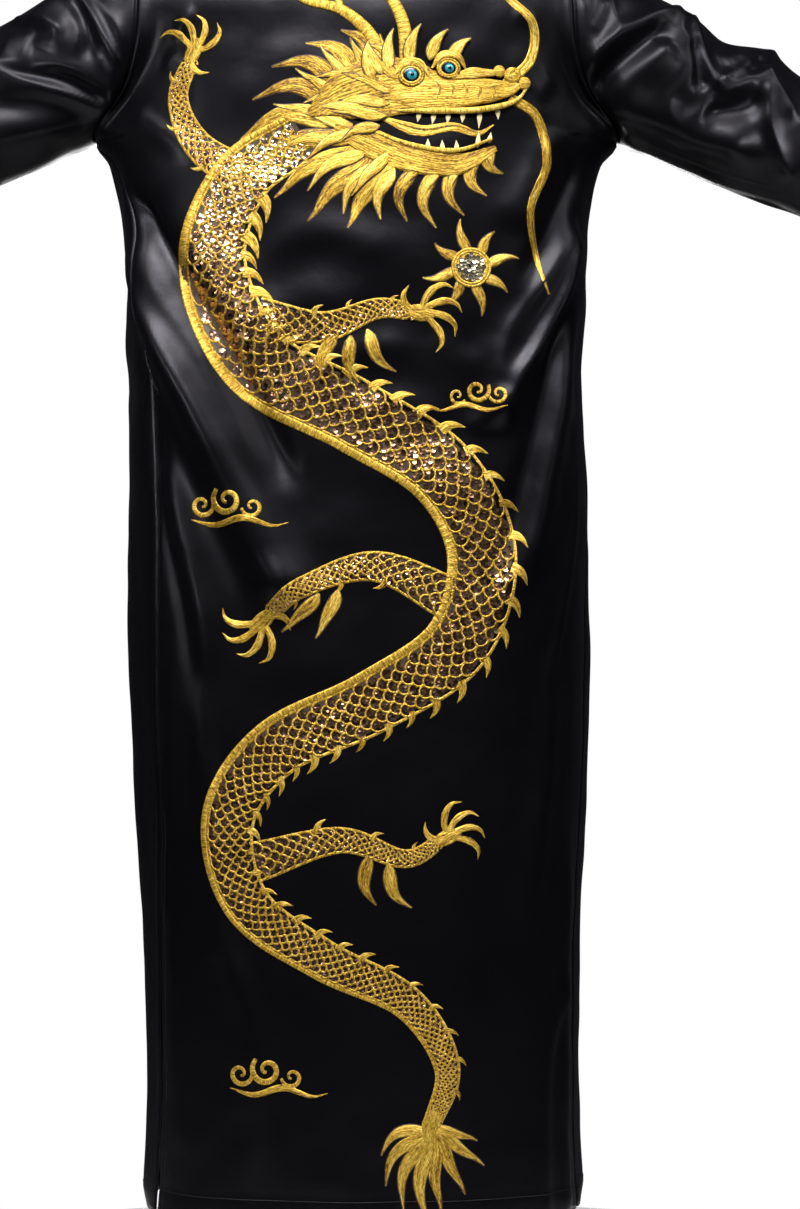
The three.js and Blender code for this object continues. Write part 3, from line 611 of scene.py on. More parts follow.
def make_panel(name, grid, facing, seam_columns):
    """Lifts a panel's flat surface by its folds and its hem, draws its side-edge columns back from their
    seams by half the gap, towards the column inside, and makes the wall."""
    points, girth, drop, free = grid
    lift = fold_height(BODY_FOLDS, girth, drop) * free + hem_relief(HEM_DROP - drop)
    strength = SKIRT_SHARE + (1 - SKIRT_SHARE) * ease((CALM_DROP - drop) / CALM_SPAN)
    lift += unevenness(girth, drop, BODY_SEED) * free * strength
    points = points + grid_normals(points, False, facing) * lift[..., None]
    normals = grid_normals(points, False, facing)
    for edge, inside in seam_columns:
        away = points[:, inside] - points[:, edge]
        away /= np.linalg.norm(away, axis=1, keepdims=True)
        points[:, edge] += away * seam_gap(drop[:, edge])[:, None] / 2
        points[:, edge] -= normals[:, edge] * SEAM_TUCK
    uv = np.stack([girth, -drop], -1)
    return cloth_wall(name, points, normals, hem_thickness(HEM_DROP - drop), False, facing, uv), points


SLEEVE_STEPS, SLEEVE_CROWDING = 205, 1.5
SLEEVE_ROUND = 2 * YOKE_STEPS
SLEEVE_CALM, SLEEVE_WAVES = (22, 30), 0.8
ROLL, ROLL_RISE, ROLL_TOP, ROLL_FALL = 1.6, 5, 9, 26


def make_sleeve(name, seam, hand):
    """A sleeve: ovals across its line, the first one the armhole's own seam. Its sections have
    off = (top + under) / 2 + (top - under) / 2 cos a and depth sin a at the angle a from the top. The
    turnings inside roll its first part up by ROLL."""
    sections = SLEEVES[hand]
    i = np.arange(SLEEVE_ROUND)
    angle = 2 * math.pi * np.where(i > SLEEVE_ROUND / 2, i - SLEEVE_ROUND, i) / SLEEVE_ROUND
    cos, sin = math.cos(SLEEVE_SLOPE), math.sin(SLEEVE_SLOPE)

    def section(reach):
        top, under = read(sections, "top", reach), read(sections, "under", reach)
        off = (top + under) / 2 + (top - under) / 2 * np.cos(angle)
        depth = read(sections, "depth", reach) * np.sin(angle)
        return np.stack([hand * (reach * cos + off * sin), depth, off * cos - reach * sin], -1)

    starts = np.abs(seam[:, 0]) * cos - seam[:, 2] * sin
    share = (np.linspace(0, 1, SLEEVE_STEPS + 1) ** SLEEVE_CROWDING)[:, None]
    reach = starts + (CUFF_REACH - starts) * share
    points = section(reach) + (seam - section(starts)) * (1 - ease(share / SEAM_BLEND))[..., None]
    around = np.degrees(angle) * ROUND_PER_DEGREE + 0 * reach
    from_seam = reach - starts
    fold_calm, wave_calm = SLEEVE_CALM
    lift = fold_height(SLEEVE_FOLDS[hand], reach, around, (1, ROUND_PER_DEGREE)) * ease(from_seam / fold_calm)
    lift += ROLL * ease(from_seam / ROLL_RISE) - ROLL * ease((from_seam - ROLL_TOP) / ROLL_FALL)
    waves = SLEEVE_WAVES * unevenness(reach, around, SLEEVE_SEED) * ease(from_seam / wave_calm)
    lift += hem_relief(CUFF_REACH - reach) + waves
    normals = grid_normals(points, True, -hand)
    points = points + normals * lift[..., None]
    points[0] += (points[1] - points[0]) * SEAM_DRAW - normals[0] * SEAM_TUCK
    uv = np.stack([reach, around], -1)
    normals = grid_normals(points, True, -hand)
    return cloth_wall(name, points, normals, hem_thickness(CUFF_REACH - reach), True, -hand, uv), points


# Materials
class Nodes:
    """A node tree that ends in one shader, built by short calls. A value given to a node is set on it,
    or linked if it is another node's socket."""

    def __init__(self, owner, shader, out):
        owner.use_nodes = True
        self.tree = owner.node_tree
        self.tree.nodes.clear()
        self.shader = self.add(shader)
        self.add(out, Surface=self.shader.outputs[0])

    def join(self, value, target):
        if isinstance(value, bpy.types.NodeSocket):
            self.tree.links.new(value, target)
        else:
            target.default_value = value

    def give(self, node, **values):
        for key, value in values.items():
            target = node.inputs.get(key.replace("_", " "))
            if target is None:
                setattr(node, key, value)
            else:
                self.join(value, target)
        return node

    def add(self, kind, **values):
        return self.give(self.tree.nodes.new(kind), **values)


class Material(Nodes):
    """A material's nodes, with the values of its own shader."""

    def __init__(self, name, **values):
        self.material = bpy.data.materials.new(name)
        super().__init__(self.material, "ShaderNodeBsdfPrincipled", "ShaderNodeOutputMaterial")
        self.set(**values)

    def set(self, **values):
        self.give(self.shader, **values)

    def place(self):
        return self.add("ShaderNodeTexCoord").outputs["Object"]

    def tone(self):
        return self.add("ShaderNodeAttribute", attribute_name="tone").outputs["Fac"]

    def noise(self, vector, scale, detail=4.0, roughness=0.55):
        node = self.add("ShaderNodeTexNoise", Vector=vector, Scale=scale, Detail=detail, Roughness=roughness)
        return node.outputs["Fac"]

    def streaks(self, scale, detail):
        """Noise drawn out along one direction of the flat pattern."""
        flat = self.add("ShaderNodeUVMap", uv_map="cut").outputs["UV"]
        drawn = self.add("ShaderNodeMapping", Vector=flat, Scale=(*scale, 1))
        return self.noise(drawn.outputs["Vector"], 1.0, detail)

    def ramp(self, source, *stops):
        """Colours (three numbers) or greys (one) along a source's values."""
        node = self.add("ShaderNodeValToRGB", Fac=source)
        elements = node.color_ramp.elements
        while len(elements) < len(stops):
            elements.new(0.5)
        for element, (place, colour) in zip(elements, stops):
            element.position = place
            element.color = (*np.broadcast_to(colour, 3), 1)
        return node.outputs["Color"]

    def maths(self, operation, *values):
        node = self.add("ShaderNodeMath", operation=operation)
        for value, target in zip(values, node.inputs):
            self.join(value, target)
        return node.outputs[0]

    def bump(self, height, strength, distance, **after):
        node = self.add("ShaderNodeBump", Height=height, Strength=strength, Distance=distance, **after)
        return node.outputs["Normal"]


def satin_material():
    """Heavy black satin: a dark ground under a smooth float sheen, with faint creasing."""
    m = Material("black_satin", Base_Color=(0.0013, 0.0012, 0.0018, 1), IOR=1.5, Specular_IOR_Level=0.17,
                 Specular_Tint=(0.92, 0.88, 1.0, 1), Coat_Weight=0.06, Coat_Roughness=0.26, Coat_IOR=1.4,
                 Sheen_Weight=0.005, Sheen_Roughness=0.45, Sheen_Tint=(0.72, 0.68, 0.85, 1))
    place = m.place()
    m.set(Roughness=m.ramp(m.noise(place, 9.0, 3.0), (0.3, 0.35), (0.7, 0.42)))
    normal = {}
    for scale, detail, strength, distance in ((34.0, 3.0, 0.35, 0.0022), (210.0, 2.0, 0.18, 0.0003),
                                              (1100.0, 1.0, 0.25, 0.0002)):
        normal = {"Normal": m.bump(m.noise(place, scale, detail, 0.5), strength, distance, **normal)}
    m.set(**normal)
    return m.material


def gold_material():
    """Lustrous gold thread: short stitches that run one way. Its colour follows their relief: painted
    highlight on their tops and painted shade in their hollows.
    """
    m = Material("gold_thread", Metallic=0.5, Roughness=0.42, Specular_IOR_Level=0.5)
    fine, bundles = m.streaks((260.0, 1500.0), 3.0), m.streaks((70.0, 420.0), 2.0)
    streak = m.maths("ADD", m.maths("MULTIPLY", fine, 0.6), m.maths("MULTIPLY", bundles, 0.4))
    shade = m.maths("ADD", streak, m.maths("MULTIPLY", m.tone(), 0.15))
    # base colour from the same noise as the bump: painted highlight where the stitches stand high, painted
    # shade where they sink
    m.set(Normal=m.bump(streak, 1.0, 0.0009),
          Base_Color=m.ramp(shade, (0.38, (0.10, 0.045, 0.004)), (0.46, (0.38, 0.21, 0.013)),
                            (0.54, (0.66, 0.41, 0.034)), (0.66, (0.98, 0.72, 0.19))))
    return m.material


def plain_material(name, colour, roughness, **more):
    return Material(name, Base_Color=(*colour, 1), Roughness=roughness, **more).material


def ground_material():
    """Dark brown ground thread with a faint lie of its stitches."""
    m = Material("dark_thread", Roughness=0.5)
    streak = m.streaks((900.0, 90.0), 2.0)
    m.set(Base_Color=m.ramp(streak, (0.35, (0.02, 0.011, 0.006)), (0.65, (0.09, 0.048, 0.02))),
          Normal=m.bump(streak, 0.5, 0.0003))
    return m.material


def sequin_material(name, dark, light):
    """Metallised film: each disc's own tint lies between two colours."""
    m = Material(name, Metallic=1.0, Roughness=0.27)
    m.set(Base_Color=m.ramp(m.tone(), (0.1, dark), (0.9, light)))
    return m.material


def wear(obj, material):
    """Gives a piece its material and fixes it to the part."""
    obj.data.materials.append(material)
    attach(obj, ROOT)


# Lines and threads
def beside(way):
    """The directions to the right of the way a line goes."""
    return np.stack([-way[..., 1], way[..., 0]], -1)


def circle(turn):
    return np.stack([np.cos(turn), np.sin(turn)], -1)


def round_turns(count):
    """Angles at even steps once round."""
    return np.linspace(0, 2 * math.pi, count, endpoint=False)


def towards(degrees):
    """The unit vector of a heading: 0 to the right, 90 down."""
    way = math.radians(degrees)
    return np.array([math.cos(way), math.sin(way)])


def evenly(share, values):
    """Values given at even steps, read at a share of the way through them."""
    return np.interp(share, np.linspace(0, 1, len(values)), values)


# The motif is laid out on the back: a = mm to the wearer's right of mid back, d = mm below the neck
class BackFace:
    """The back's outer face as a height map, for everything stitched on it: y over fixed z and x, with
    its slopes for the normals."""

    STEP, HALF_WIDTH, TOP, FOOT = 2.0, 206.0, -14.0, -1306.0

    def __init__(self, points):
        self.x = np.arange(-self.HALF_WIDTH, self.HALF_WIDTH + 0.1, self.STEP)
        self.z = np.arange(self.FOOT, self.TOP + 0.1, self.STEP)
        rows = np.array([read_line(self.x, row[:, 0], row[:, 1:]) for row in points[::-1]])
        y = np.stack([np.interp(self.z, column[:, 1], column[:, 0]) for column in rows.swapaxes(0, 1)], -1)
        slope_z, slope_x = np.gradient(y, self.STEP)
        self.fields = np.stack([y, slope_x, slope_z], -1)

    def at(self, place, height):
        """Points at a height above the cloth over places (a, d)."""
        place = np.asarray(place, float)
        x, z = -place[..., 0], -place[..., 1]
        i = np.clip((x - self.x[0]) / self.STEP, 0, len(self.x) - 1.001)
        j = np.clip((z - self.z[0]) / self.STEP, 0, len(self.z) - 1.001)
        i0, j0 = i.astype(int), j.astype(int)
        s, t = (i - i0)[..., None], (j - j0)[..., None]
        field = ((self.fields[j0, i0] * (1 - s) + self.fields[j0, i0 + 1] * s) * (1 - t)
                 + (self.fields[j0 + 1, i0] * (1 - s) + self.fields[j0 + 1, i0 + 1] * s) * t)
        normal = unit(np.stack([-field[..., 1], np.ones_like(x), -field[..., 2]], -1))
        return np.stack([x, field[..., 0], z], -1) + normal * np.asarray(height)[..., None]


class Thread:
    """Gathers the work of one thread, or one kind of bead, into one mesh."""

    def __init__(self):
        self.points, self.faces, self.uv, self.tone, self.total = [], [], [], [], 0

    def grids(self, points, uv, tone=0.0, closed=False):
        """Adds a stack of equal grids: points (count, rows, columns, 3), uv (count, rows, columns, 2),
        tone one for each grid or one for each point."""
        count, rows, columns = points.shape[:3]
        size = rows * columns
        faces = grid_faces(rows, columns, closed)[None] + (np.arange(count) * size)[:, None, None]
        self.faces.append(faces.reshape(-1, 4) + self.total)
        self.points.append(points.reshape(-1, 3))
        self.uv.append(uv.reshape(-1, 2))
        tone = np.asarray(tone, float)
        tone = tone.reshape(-1, 1, 1) if tone.ndim < 2 else tone
        self.tone.append(np.broadcast_to(tone, (count, rows, columns)).ravel())
        self.total += count * size

    def finish(self, name, material, slot):
        piece = new_object(name, np.concatenate(self.points), np.concatenate(self.faces),
                           np.concatenate(self.uv) * MM, np.concatenate(self.tone))
        wear(piece, material)


# the domed section of a band: shares of its half width and of its height
SECTION = np.array([-1.0, -0.94, -0.68, -0.25, 0.25, 0.68, 0.94, 1.0])
SECTION_HEIGHT = np.array([0.0, 0.55, 0.85, 1.0, 1.0, 0.85, 0.55, 0.0])
EDGE_SINK = 0.35
STRAND, MOST_STRANDS = 2.6, 16
STRAND_GROOVE, RIB_GROOVE, STRAND_SWAY = 0.28, 0.38, 0.35
BAND_TONE, STRAND_TONE = 0.10, 0.42
LEAST_POINTS = 7
UV_SHIFT = 400


def frame_of(path, spacing):
    """Even points along a path, its length and the unit sides to the right of the way it goes."""
    points = np.array(path, float)
    _, length = smooth_path(points, 3)
    line, _ = smooth_path(points, max(LEAST_POINTS, int(length / spacing) + 1))
    return line, length, beside(unit(np.gradient(line, axis=0)))


def ribbon(thread, path, widths, relief=0.9, tone=0.0, lengthwise=True, base=0.0, spacing=3.2, ribs=0.0,
           shift=0.0):
    """A satin-stitched band along a path: half widths read between the given ones, a domed top parted
    into strands about STRAND wide, each with its own tone, and edges that sink into the cloth. base
    lifts it onto what lies below, ribs is the pitch of grooves across it, and shift moves it sideways by
    that share of its half width."""
    line, length, side = frame_of(path, spacing)
    s = np.linspace(0, 1, len(line))
    half = evenly(s, widths)
    strands = int(np.clip(round(2 * half.max() / STRAND), 1, MOST_STRANDS))
    share = SECTION
    if strands > 1:
        share = np.concatenate([[-1, -0.96], np.linspace(-0.88, 0.88, 4 * strands - 1), [0.96, 1]])
    off = half[:, None] * (share + shift)
    tall = relief * np.clip(half / 3.0, 0.25, 1)
    if ribs:
        tall = tall * (1 - RIB_GROOVE + RIB_GROOVE * np.abs(np.sin(math.pi * s * length / ribs)))
    height = tall[:, None] * np.interp(share, SECTION, SECTION_HEIGHT)
    strand = (share + 1) / 2 * strands
    shade = tone + BAND_TONE * chance.standard_normal() + np.zeros((1, len(line), len(share)))
    if strands > 1 and lengthwise:
        turns = s[:, None] * chance.uniform(0.6, 1.6) + chance.random()
        sway = STRAND_SWAY * np.sin(2 * math.pi * turns)
        height = height * (1 - STRAND_GROOVE + STRAND_GROOVE * np.abs(np.sin(math.pi * (strand + sway))))
        tones = chance.standard_normal(strands + 3) * 0.5
        shade = shade + STRAND_TONE * np.interp(strand + sway, np.arange(-1, strands + 2), tones)
    height = height + (base - EDGE_SINK) * (np.abs(share) == 1) + base * (np.abs(share) < 1)
    along = np.broadcast_to((s * length)[:, None], off.shape)
    uv = np.stack([along, off] if lengthwise else [off, along], -1)
    place = line[:, None] + side[:, None] * off[..., None]
    thread.grids(face.at(place, height)[None], uv[None] + chance.uniform(0, UV_SHIFT, 2), shade)


SWELL = np.array([0.12, 0.82, 1.0, 0.94, 0.76, 0.5, 0.25, 0.04])
BORDER = 0.9


def lock(thread, start, heading, length, bend, width, tone=0.0, curl=0.0, relief=1.1, base=0.0):
    """A flame or a lock of hair: a band whose heading (degrees, 0 to the right, 90 down) turns by bend
    along it and sways by curl, and whose width swells and then runs out. Gold ones have a dark border."""
    t = np.linspace(0, 1, len(SWELL))
    way = np.radians(heading + bend * t**1.3 + curl * np.sin(2 * math.pi * t))
    step = circle(way) * length / (len(SWELL) - 1)
    path = np.vstack([[0, 0], np.cumsum(step[:-1], axis=0)]) + start
    if thread is gold:
        ribbon(ground, path, SWELL * width + BORDER, 0.35 * relief, 0.0, True, base, 3.6)
    ribbon(thread, path, SWELL * width, relief, tone, True, base, 3.0)


CORD = np.radians(np.array([200, 160, 115, 65, 20, -20]))


def cords(thread, lines, radius, tone, base=0.0):
    """Round threads laid along a stack of lines (count, points, 2), their undersides left open."""
    side = beside(unit(np.gradient(lines, axis=1)))
    off = -np.cos(CORD) * radius
    height = np.sin(CORD) * radius + 0.25 * radius + base
    place = lines[:, :, None] + side[:, :, None] * off[:, None]
    height = np.broadcast_to(height, place.shape[:3])
    run = np.cumsum(np.linalg.norm(np.diff(lines, axis=1, prepend=lines[:, :1]), axis=2), axis=1)
    uv = np.stack(np.broadcast_arrays(off, run[..., None]), -1)
    thread.grids(face.at(place, height), uv + chance.uniform(0, UV_SHIFT, (len(lines), 1, 1, 2)), tone)


SEQUIN_SIDES = 10
SEQUIN_HOLE, SEQUIN_CUP = 0.2, 0.22
TIP_SPREAD, TIP_MEAN, LIFT_SPREAD = 0.11, (0.0, 0.05), 0.35


def sequins(thread, places, radius, tone, lift=0.55):
    """Round cupped sequins with a hole: two rings of points each, tipped a little at random and sewn
    through the middle."""
    count = len(places)
    ring = circle(round_turns(SEQUIN_SIDES))
    rings = np.array([SEQUIN_HOLE, 1.0])[:, None, None] * ring * radius[:, None, None, None]
    tip = chance.normal(0, TIP_SPREAD, (count, 1, 1, 2)) + TIP_MEAN
    height = lift + chance.uniform(0, LIFT_SPREAD, (count, 1, 1)) + (rings * tip).sum(-1)
    height += np.array([0.0, SEQUIN_CUP])[:, None]
    points = face.at(places[:, None, None] + rings, height)
    thread.grids(points, np.broadcast_to(rings, points.shape[:3] + (2,)), tone, closed=True)


LIMB_EDGE, SCALE_EDGE, GROUND_HEIGHT = 0.98, 0.97, 0.28
SCALE_PITCH, SCALE_REACH, SCALE_ROUND, SCALE_CORD = 0.60, 0.66, 0.85, 1.15
SCALES_FROM, SCALES_UNTIL = 0.2, 0.3
# places of the sequins in a scale, as shares of its width and length
SPOTS = np.array([(0.0, 0.50), (-0.25, 0.29), (0.25, 0.29), (-0.13, 0.03), (0.13, 0.03)])
SEQUIN_CHANCE, SEQUIN_JITTER, SEQUIN_SHARE, SEQUIN_SIZES = 0.93, 0.25, 0.16, (1.4, 2.5)
SCALE_TONE, SEQUIN_TONE, PALE_FROM = 0.1, 0.16, 0.86


def limb(path, widths, across, belly, tint):
    """A scaled limb: a dark ground, rows of scale arcs staggered along it, sequins inside them, a gold
    edge on both sides and, on one side, a ribbed belly that takes the given share of the width."""
    line, length, side = frame_of(path, 3.0)
    s = np.linspace(0, length, len(line))
    half = evenly(s / length, widths)

    def on_limb(at, share):
        """Places at a distance along the limb and a share of its half width."""
        reach = np.interp(at, s, half) * share
        return read_line(at, s, line) + read_line(at, s, side) * reach[..., None]

    bed = on_limb(s[:, None], np.linspace(-LIMB_EDGE, LIMB_EDGE, 9)[None] + 0 * s[:, None])
    height = np.full(bed.shape[:2], GROUND_HEIGHT)
    height[:, [0, -1]] = -EDGE_SINK
    ground.grids(face.at(bed, height)[None], bed[None])

    low, high = -SCALE_EDGE, SCALE_EDGE - 2 * belly
    wide = (high - low) / across
    rows, at = [], SCALES_FROM * half[0]
    while at < length - SCALES_UNTIL * half[-1]:
        rows.append(at)
        at += SCALE_PITCH * wide * np.interp(at, s, half)
    at, share = np.meshgrid(rows, low + wide * (np.arange(across) + 0.5), indexing="ij")
    share = share + wide / 2 * (np.arange(len(rows)) % 2)[:, None]
    keep = share < high - 0.2 * wide
    at, share = at[keep], share[keep]
    size = np.interp(at, s, half) * wide
    bend = np.linspace(0, math.pi, 8)
    arc_share = np.clip(share[:, None] - wide / 2 * np.cos(bend), low, high)
    arc_at = at[:, None] + size[:, None] * SCALE_REACH * np.sin(bend) ** SCALE_ROUND
    cords(scales, on_limb(arc_at, arc_share), SCALE_CORD, SCALE_TONE * chance.standard_normal(len(at)))

    spot_at = at[:, None] + size[:, None] * SPOTS[:, 1]
    spot_share = (share[:, None] + wide * SPOTS[:, 0]).ravel()
    count = spot_at.size
    places = on_limb(spot_at.ravel(), spot_share) + chance.normal(0, SEQUIN_JITTER, (count, 2))
    inside = (chance.random(count) < SEQUIN_CHANCE) & (spot_share < high) & (spot_share > low)
    radius = np.clip(np.repeat(size, len(SPOTS)) * SEQUIN_SHARE, *SEQUIN_SIZES)
    radius = radius * chance.uniform(0.92, 1.05, count)
    tone = evenly(spot_at.ravel() / length, tint) + SEQUIN_TONE * chance.standard_normal(count)
    for thread, chosen in ((bronze, inside & (tone <= PALE_FROM)), (pale, inside & (tone > PALE_FROM))):
        if chosen.any():
            sequins(thread, places[chosen], radius[chosen], tone[chosen])

    for edge in (-LIMB_EDGE, LIMB_EDGE - 2 * belly):
        ribbon(gold, on_limb(s, edge + 0 * s)[::4], [1.1 + 0.012 * half.max()] * 2, 1.3, 0.05, False)
    if belly:
        middle = on_limb(s, 1 - belly + 0 * s)
        ribbon(gold, middle[::4], half[::4] * belly, 1.5, 0.0, False, spacing=1.8, ribs=6.5)
    return on_limb, length


def fins(on_limb, length, start, stop, count, tall):
    """Small flames along the back of a limb, leaning towards its end."""
    for k, at in enumerate(np.linspace(start, stop, count) * length):
        root = on_limb(at, -0.95)
        ahead = unit(on_limb(at + 3.0, -0.95) - root)
        out = unit(root - on_limb(at, 0.0))
        size = tall * (1 - 0.45 * k / count) * (0.85 + 0.3 * chance.random())
        path = [root - 3 * out - 0.2 * size * ahead, root + 0.35 * size * out,
                root + 0.72 * size * out + 0.4 * size * ahead, root + 0.95 * size * out + 0.95 * size * ahead]
        ribbon(gold, path, np.array([0.42, 0.34, 0.18, 0.02]) * size, 1.0, 0.1, spacing=2.4)


TOES = (-64, -30, 4, 38)


def paw(wrist, heading, size, hook):
    """A foot: a domed palm, spread toes whose claws all hook one way, and one toe turned back."""
    ahead = towards(heading)
    ribbon(gold, [wrist - 10 * ahead, wrist, wrist + 10 * ahead, wrist + 15 * ahead],
           np.array([6, 8.5, 8, 3]) * size, 1.8)
    for spread in (*TOES, -150 * hook):
        out = towards(heading + spread)
        across = beside(out) * hook
        reach = (27 if abs(spread) < 90 else 17) * size
        path = [wrist + 3 * ahead, wrist + 0.5 * reach * out - 2.5 * across,
                wrist + reach * out - 1.5 * across, wrist + 1.35 * reach * out + 5 * size * across,
                wrist + 1.42 * reach * out + 15 * size * across]
        ribbon(gold, path, np.array([4.4, 3.2, 3.9, 2.5, 0.2]) * size, 1.6, 0.1, spacing=2.4)


def scroll(centre, size, turns, start, hand, base=0.0):
    """A spiral band that opens out from its eye."""
    t = np.linspace(0, 1, 15)
    angle = math.radians(start) + hand * 2 * math.pi * turns * t
    path = circle(angle) * (size * (0.16 + 0.84 * t))[:, None] + centre
    ribbon(gold, path, np.array([1.6, 2.4, 2.9, 3.0, 2.0]) * size / 15, 1.1, 0.0, False, base, 2.2)


def cloud(centre, size, hand):
    """A cloud: three scrolls side by side and a trailing end."""
    a, d = centre
    scroll((a, d), size, 1.35, 100, hand)
    scroll((a - hand * 1.7 * size, d + 0.3 * size), 0.8 * size, 1.25, 80, -hand)
    scroll((a + hand * 1.6 * size, d + 0.45 * size), 0.7 * size, 1.2, 100, hand)
    foot = np.array([a - hand * 2.4 * size, d + 1.25 * size])
    tail = [foot, foot + (hand * 1.6 * size, 0.35 * size), foot + (hand * 3.4 * size, -0.1 * size),
            foot + (hand * 5.2 * size, 0.4 * size), foot + (hand * 6.3 * size, 0.2 * size)]
    ribbon(gold, tail, np.array([0.3, 2.2, 2.8, 1.8, 0.2]) * size / 12, 1.2)


BEAD_SIDES, BEAD_RINGS = 16, 7


def bead(thread, centre, radius, tone, lift=1.2, dome=0.7):
    """A round bead: rings of a half ball, flattened a little."""
    rise = np.linspace(0, math.pi / 2 - 0.05, BEAD_RINGS)
    off = np.cos(rise)[:, None, None] * circle(round_turns(BEAD_SIDES)) * radius
    height = np.broadcast_to((np.sin(rise) * dome * radius)[:, None] + lift, off.shape[:2])
    points = face.at(np.array(centre) + off, height)[None]
    thread.grids(points[:, ::-1], off[None, ::-1], tone, closed=True)


BODY_PATH = [(-50, 252), (-112, 296), (-138, 378), (-96, 470), (0, 524), (84, 578), (122, 655), (98, 742),
             (16, 798), (-76, 842), (-122, 910), (-104, 992), (-32, 1044), (50, 1086), (88, 1148), (72, 1206)]
BODY_HALF = [25, 30, 34, 36, 36, 35, 34, 33, 31, 29, 27, 24, 21, 18, 14, 8]
BODY_TINT = [1.0, 0.58, 0.52, 0.48, 0.42, 0.36, 0.34, 0.3, 0.3, 0.28, 0.26]
LEG_TINT = [0.5, 0.4]
# each leg's path and half widths, its scales across, and its foot's wrist, heading, size and hook
LEGS = (
    ([(-92, 430), (-30, 438), (22, 420), (58, 424)], [20, 15, 10, 7], 3, (62, 424), 8, 1.0, 1),
    ([(-92, 300), (-150, 262), (-172, 214), (-158, 176)], [20, 15, 10, 7], 3, (-157, 170), -68, 0.9, -1),
    ([(94, 700), (20, 668), (-50, 688), (-84, 716)], [21, 15, 10, 7], 3, (-88, 720), 138, 1.0, 1),
    ([(-96, 952), (-14, 930), (48, 948), (84, 930)], [19, 13, 9, 6], 3, (88, 928), -24, 0.9, 1),
)


def bands(*rows):
    """Gold bands, one a row: its path, half widths, relief, tone, whether it runs lengthwise, and base."""
    for row in rows:
        ribbon(gold, *row)


def locks(rows, width, tone, curl, relief=1.1, base=0.0):
    """Gold locks, one a row: its place across and down, heading, length and bend."""
    for a, d, *turn in rows:
        lock(gold, (a, d), *turn, width, tone, curl, relief, base)


def dragon():
    """A long dragon that winds down the back: head above looking to the wearer's right, four feet, mane,
    beard, whiskers and a flaming tail."""
    for path, widths, across, wrist, heading, size, hook in LEGS:
        on_leg, length = limb(path, widths, across, 0.0, LEG_TINT)
        fins(on_leg, length, 0.35, 0.85, 3, 9)
        paw(np.array(wrist, float), heading, size, hook)
    locks(((-18, 444, 120, 52, -50), (-4, 446, 92, 52, -40), (12, 440, 70, 52, -40), (-16, 690, 100, 52, 40),
           (-34, 694, 120, 52, 40), (14, 944, 100, 52, -50), (32, 952, 80, 52, -50)), 6.5, 0.0, 12)
    on_body, length = limb(BODY_PATH, BODY_HALF, 4, 0.12, BODY_TINT)
    fins(on_body, length, 0.06, 0.97, 50, 15)
    tail = np.array(BODY_PATH[-1], float)
    for heading, reach, bend, width in (
            (18, 62, 46, 6), (48, 70, 40, 6.5), (74, 80, 26, 7), (96, 92, -10, 7.5), (120, 84, -28, 7),
            (146, 74, -44, 6.5), (176, 60, -60, 6), (-8, 46, 60, 5)):
        lock(gold, tail + (2, 2), heading, reach, bend, width, 0.1, 16)
    ribbon(gold, [tail + (6, -16), tail, tail + (-1, 12)], [8, 9, 5], 1.8, 0.1)


def mane_and_horns():
    mane = ((-22, 226, 196, 100, 30), (-26, 238, 178, 108, 22), (-22, 250, 160, 104, 10),
            (-12, 262, 142, 98, -16), (0, 272, 124, 90, -26), (14, 280, 108, 74, -34),
            (-18, 214, 212, 90, 34), (-6, 204, 226, 76, 30), (8, 194, 240, 62, 30))
    for k, (a, d, heading, reach, bend) in enumerate(mane):
        lock(gold, (a + 16, d), heading, reach, -bend, 10, (-0.25, 0.05)[k % 2], 20, 1.3)
    for a, d, heading, reach, bend in mane:
        lock(gold, (a + 24, d + 5), heading + 9, reach * 0.74, bend, 7, 0.1, 16, 1.2, 0.9)
    for a, d, heading, reach, bend in mane[::2]:
        lock(gold, (a + 32, d - 3), heading - 4, reach * 0.62, -bend, 6, 0.3, 14, 1.2, 1.8)
    horn, tine = [7, 6.5, 5.5, 4, 0.6], [4, 3.4, 0.6]
    bands(([(28, 186), (14, 154), (-14, 130), (-50, 120), (-78, 98)], horn, 2.0, 0.0, False),
          ([(-14, 130), (-20, 108), (-36, 90)], tine, 1.8, 0.0, False),
          ([(50, 180), (46, 142), (28, 110), (2, 92), (-12, 66)], horn, 2.0, 0.1, False),
          ([(28, 110), (34, 90), (28, 72)], tine, 1.8, 0.0, False))


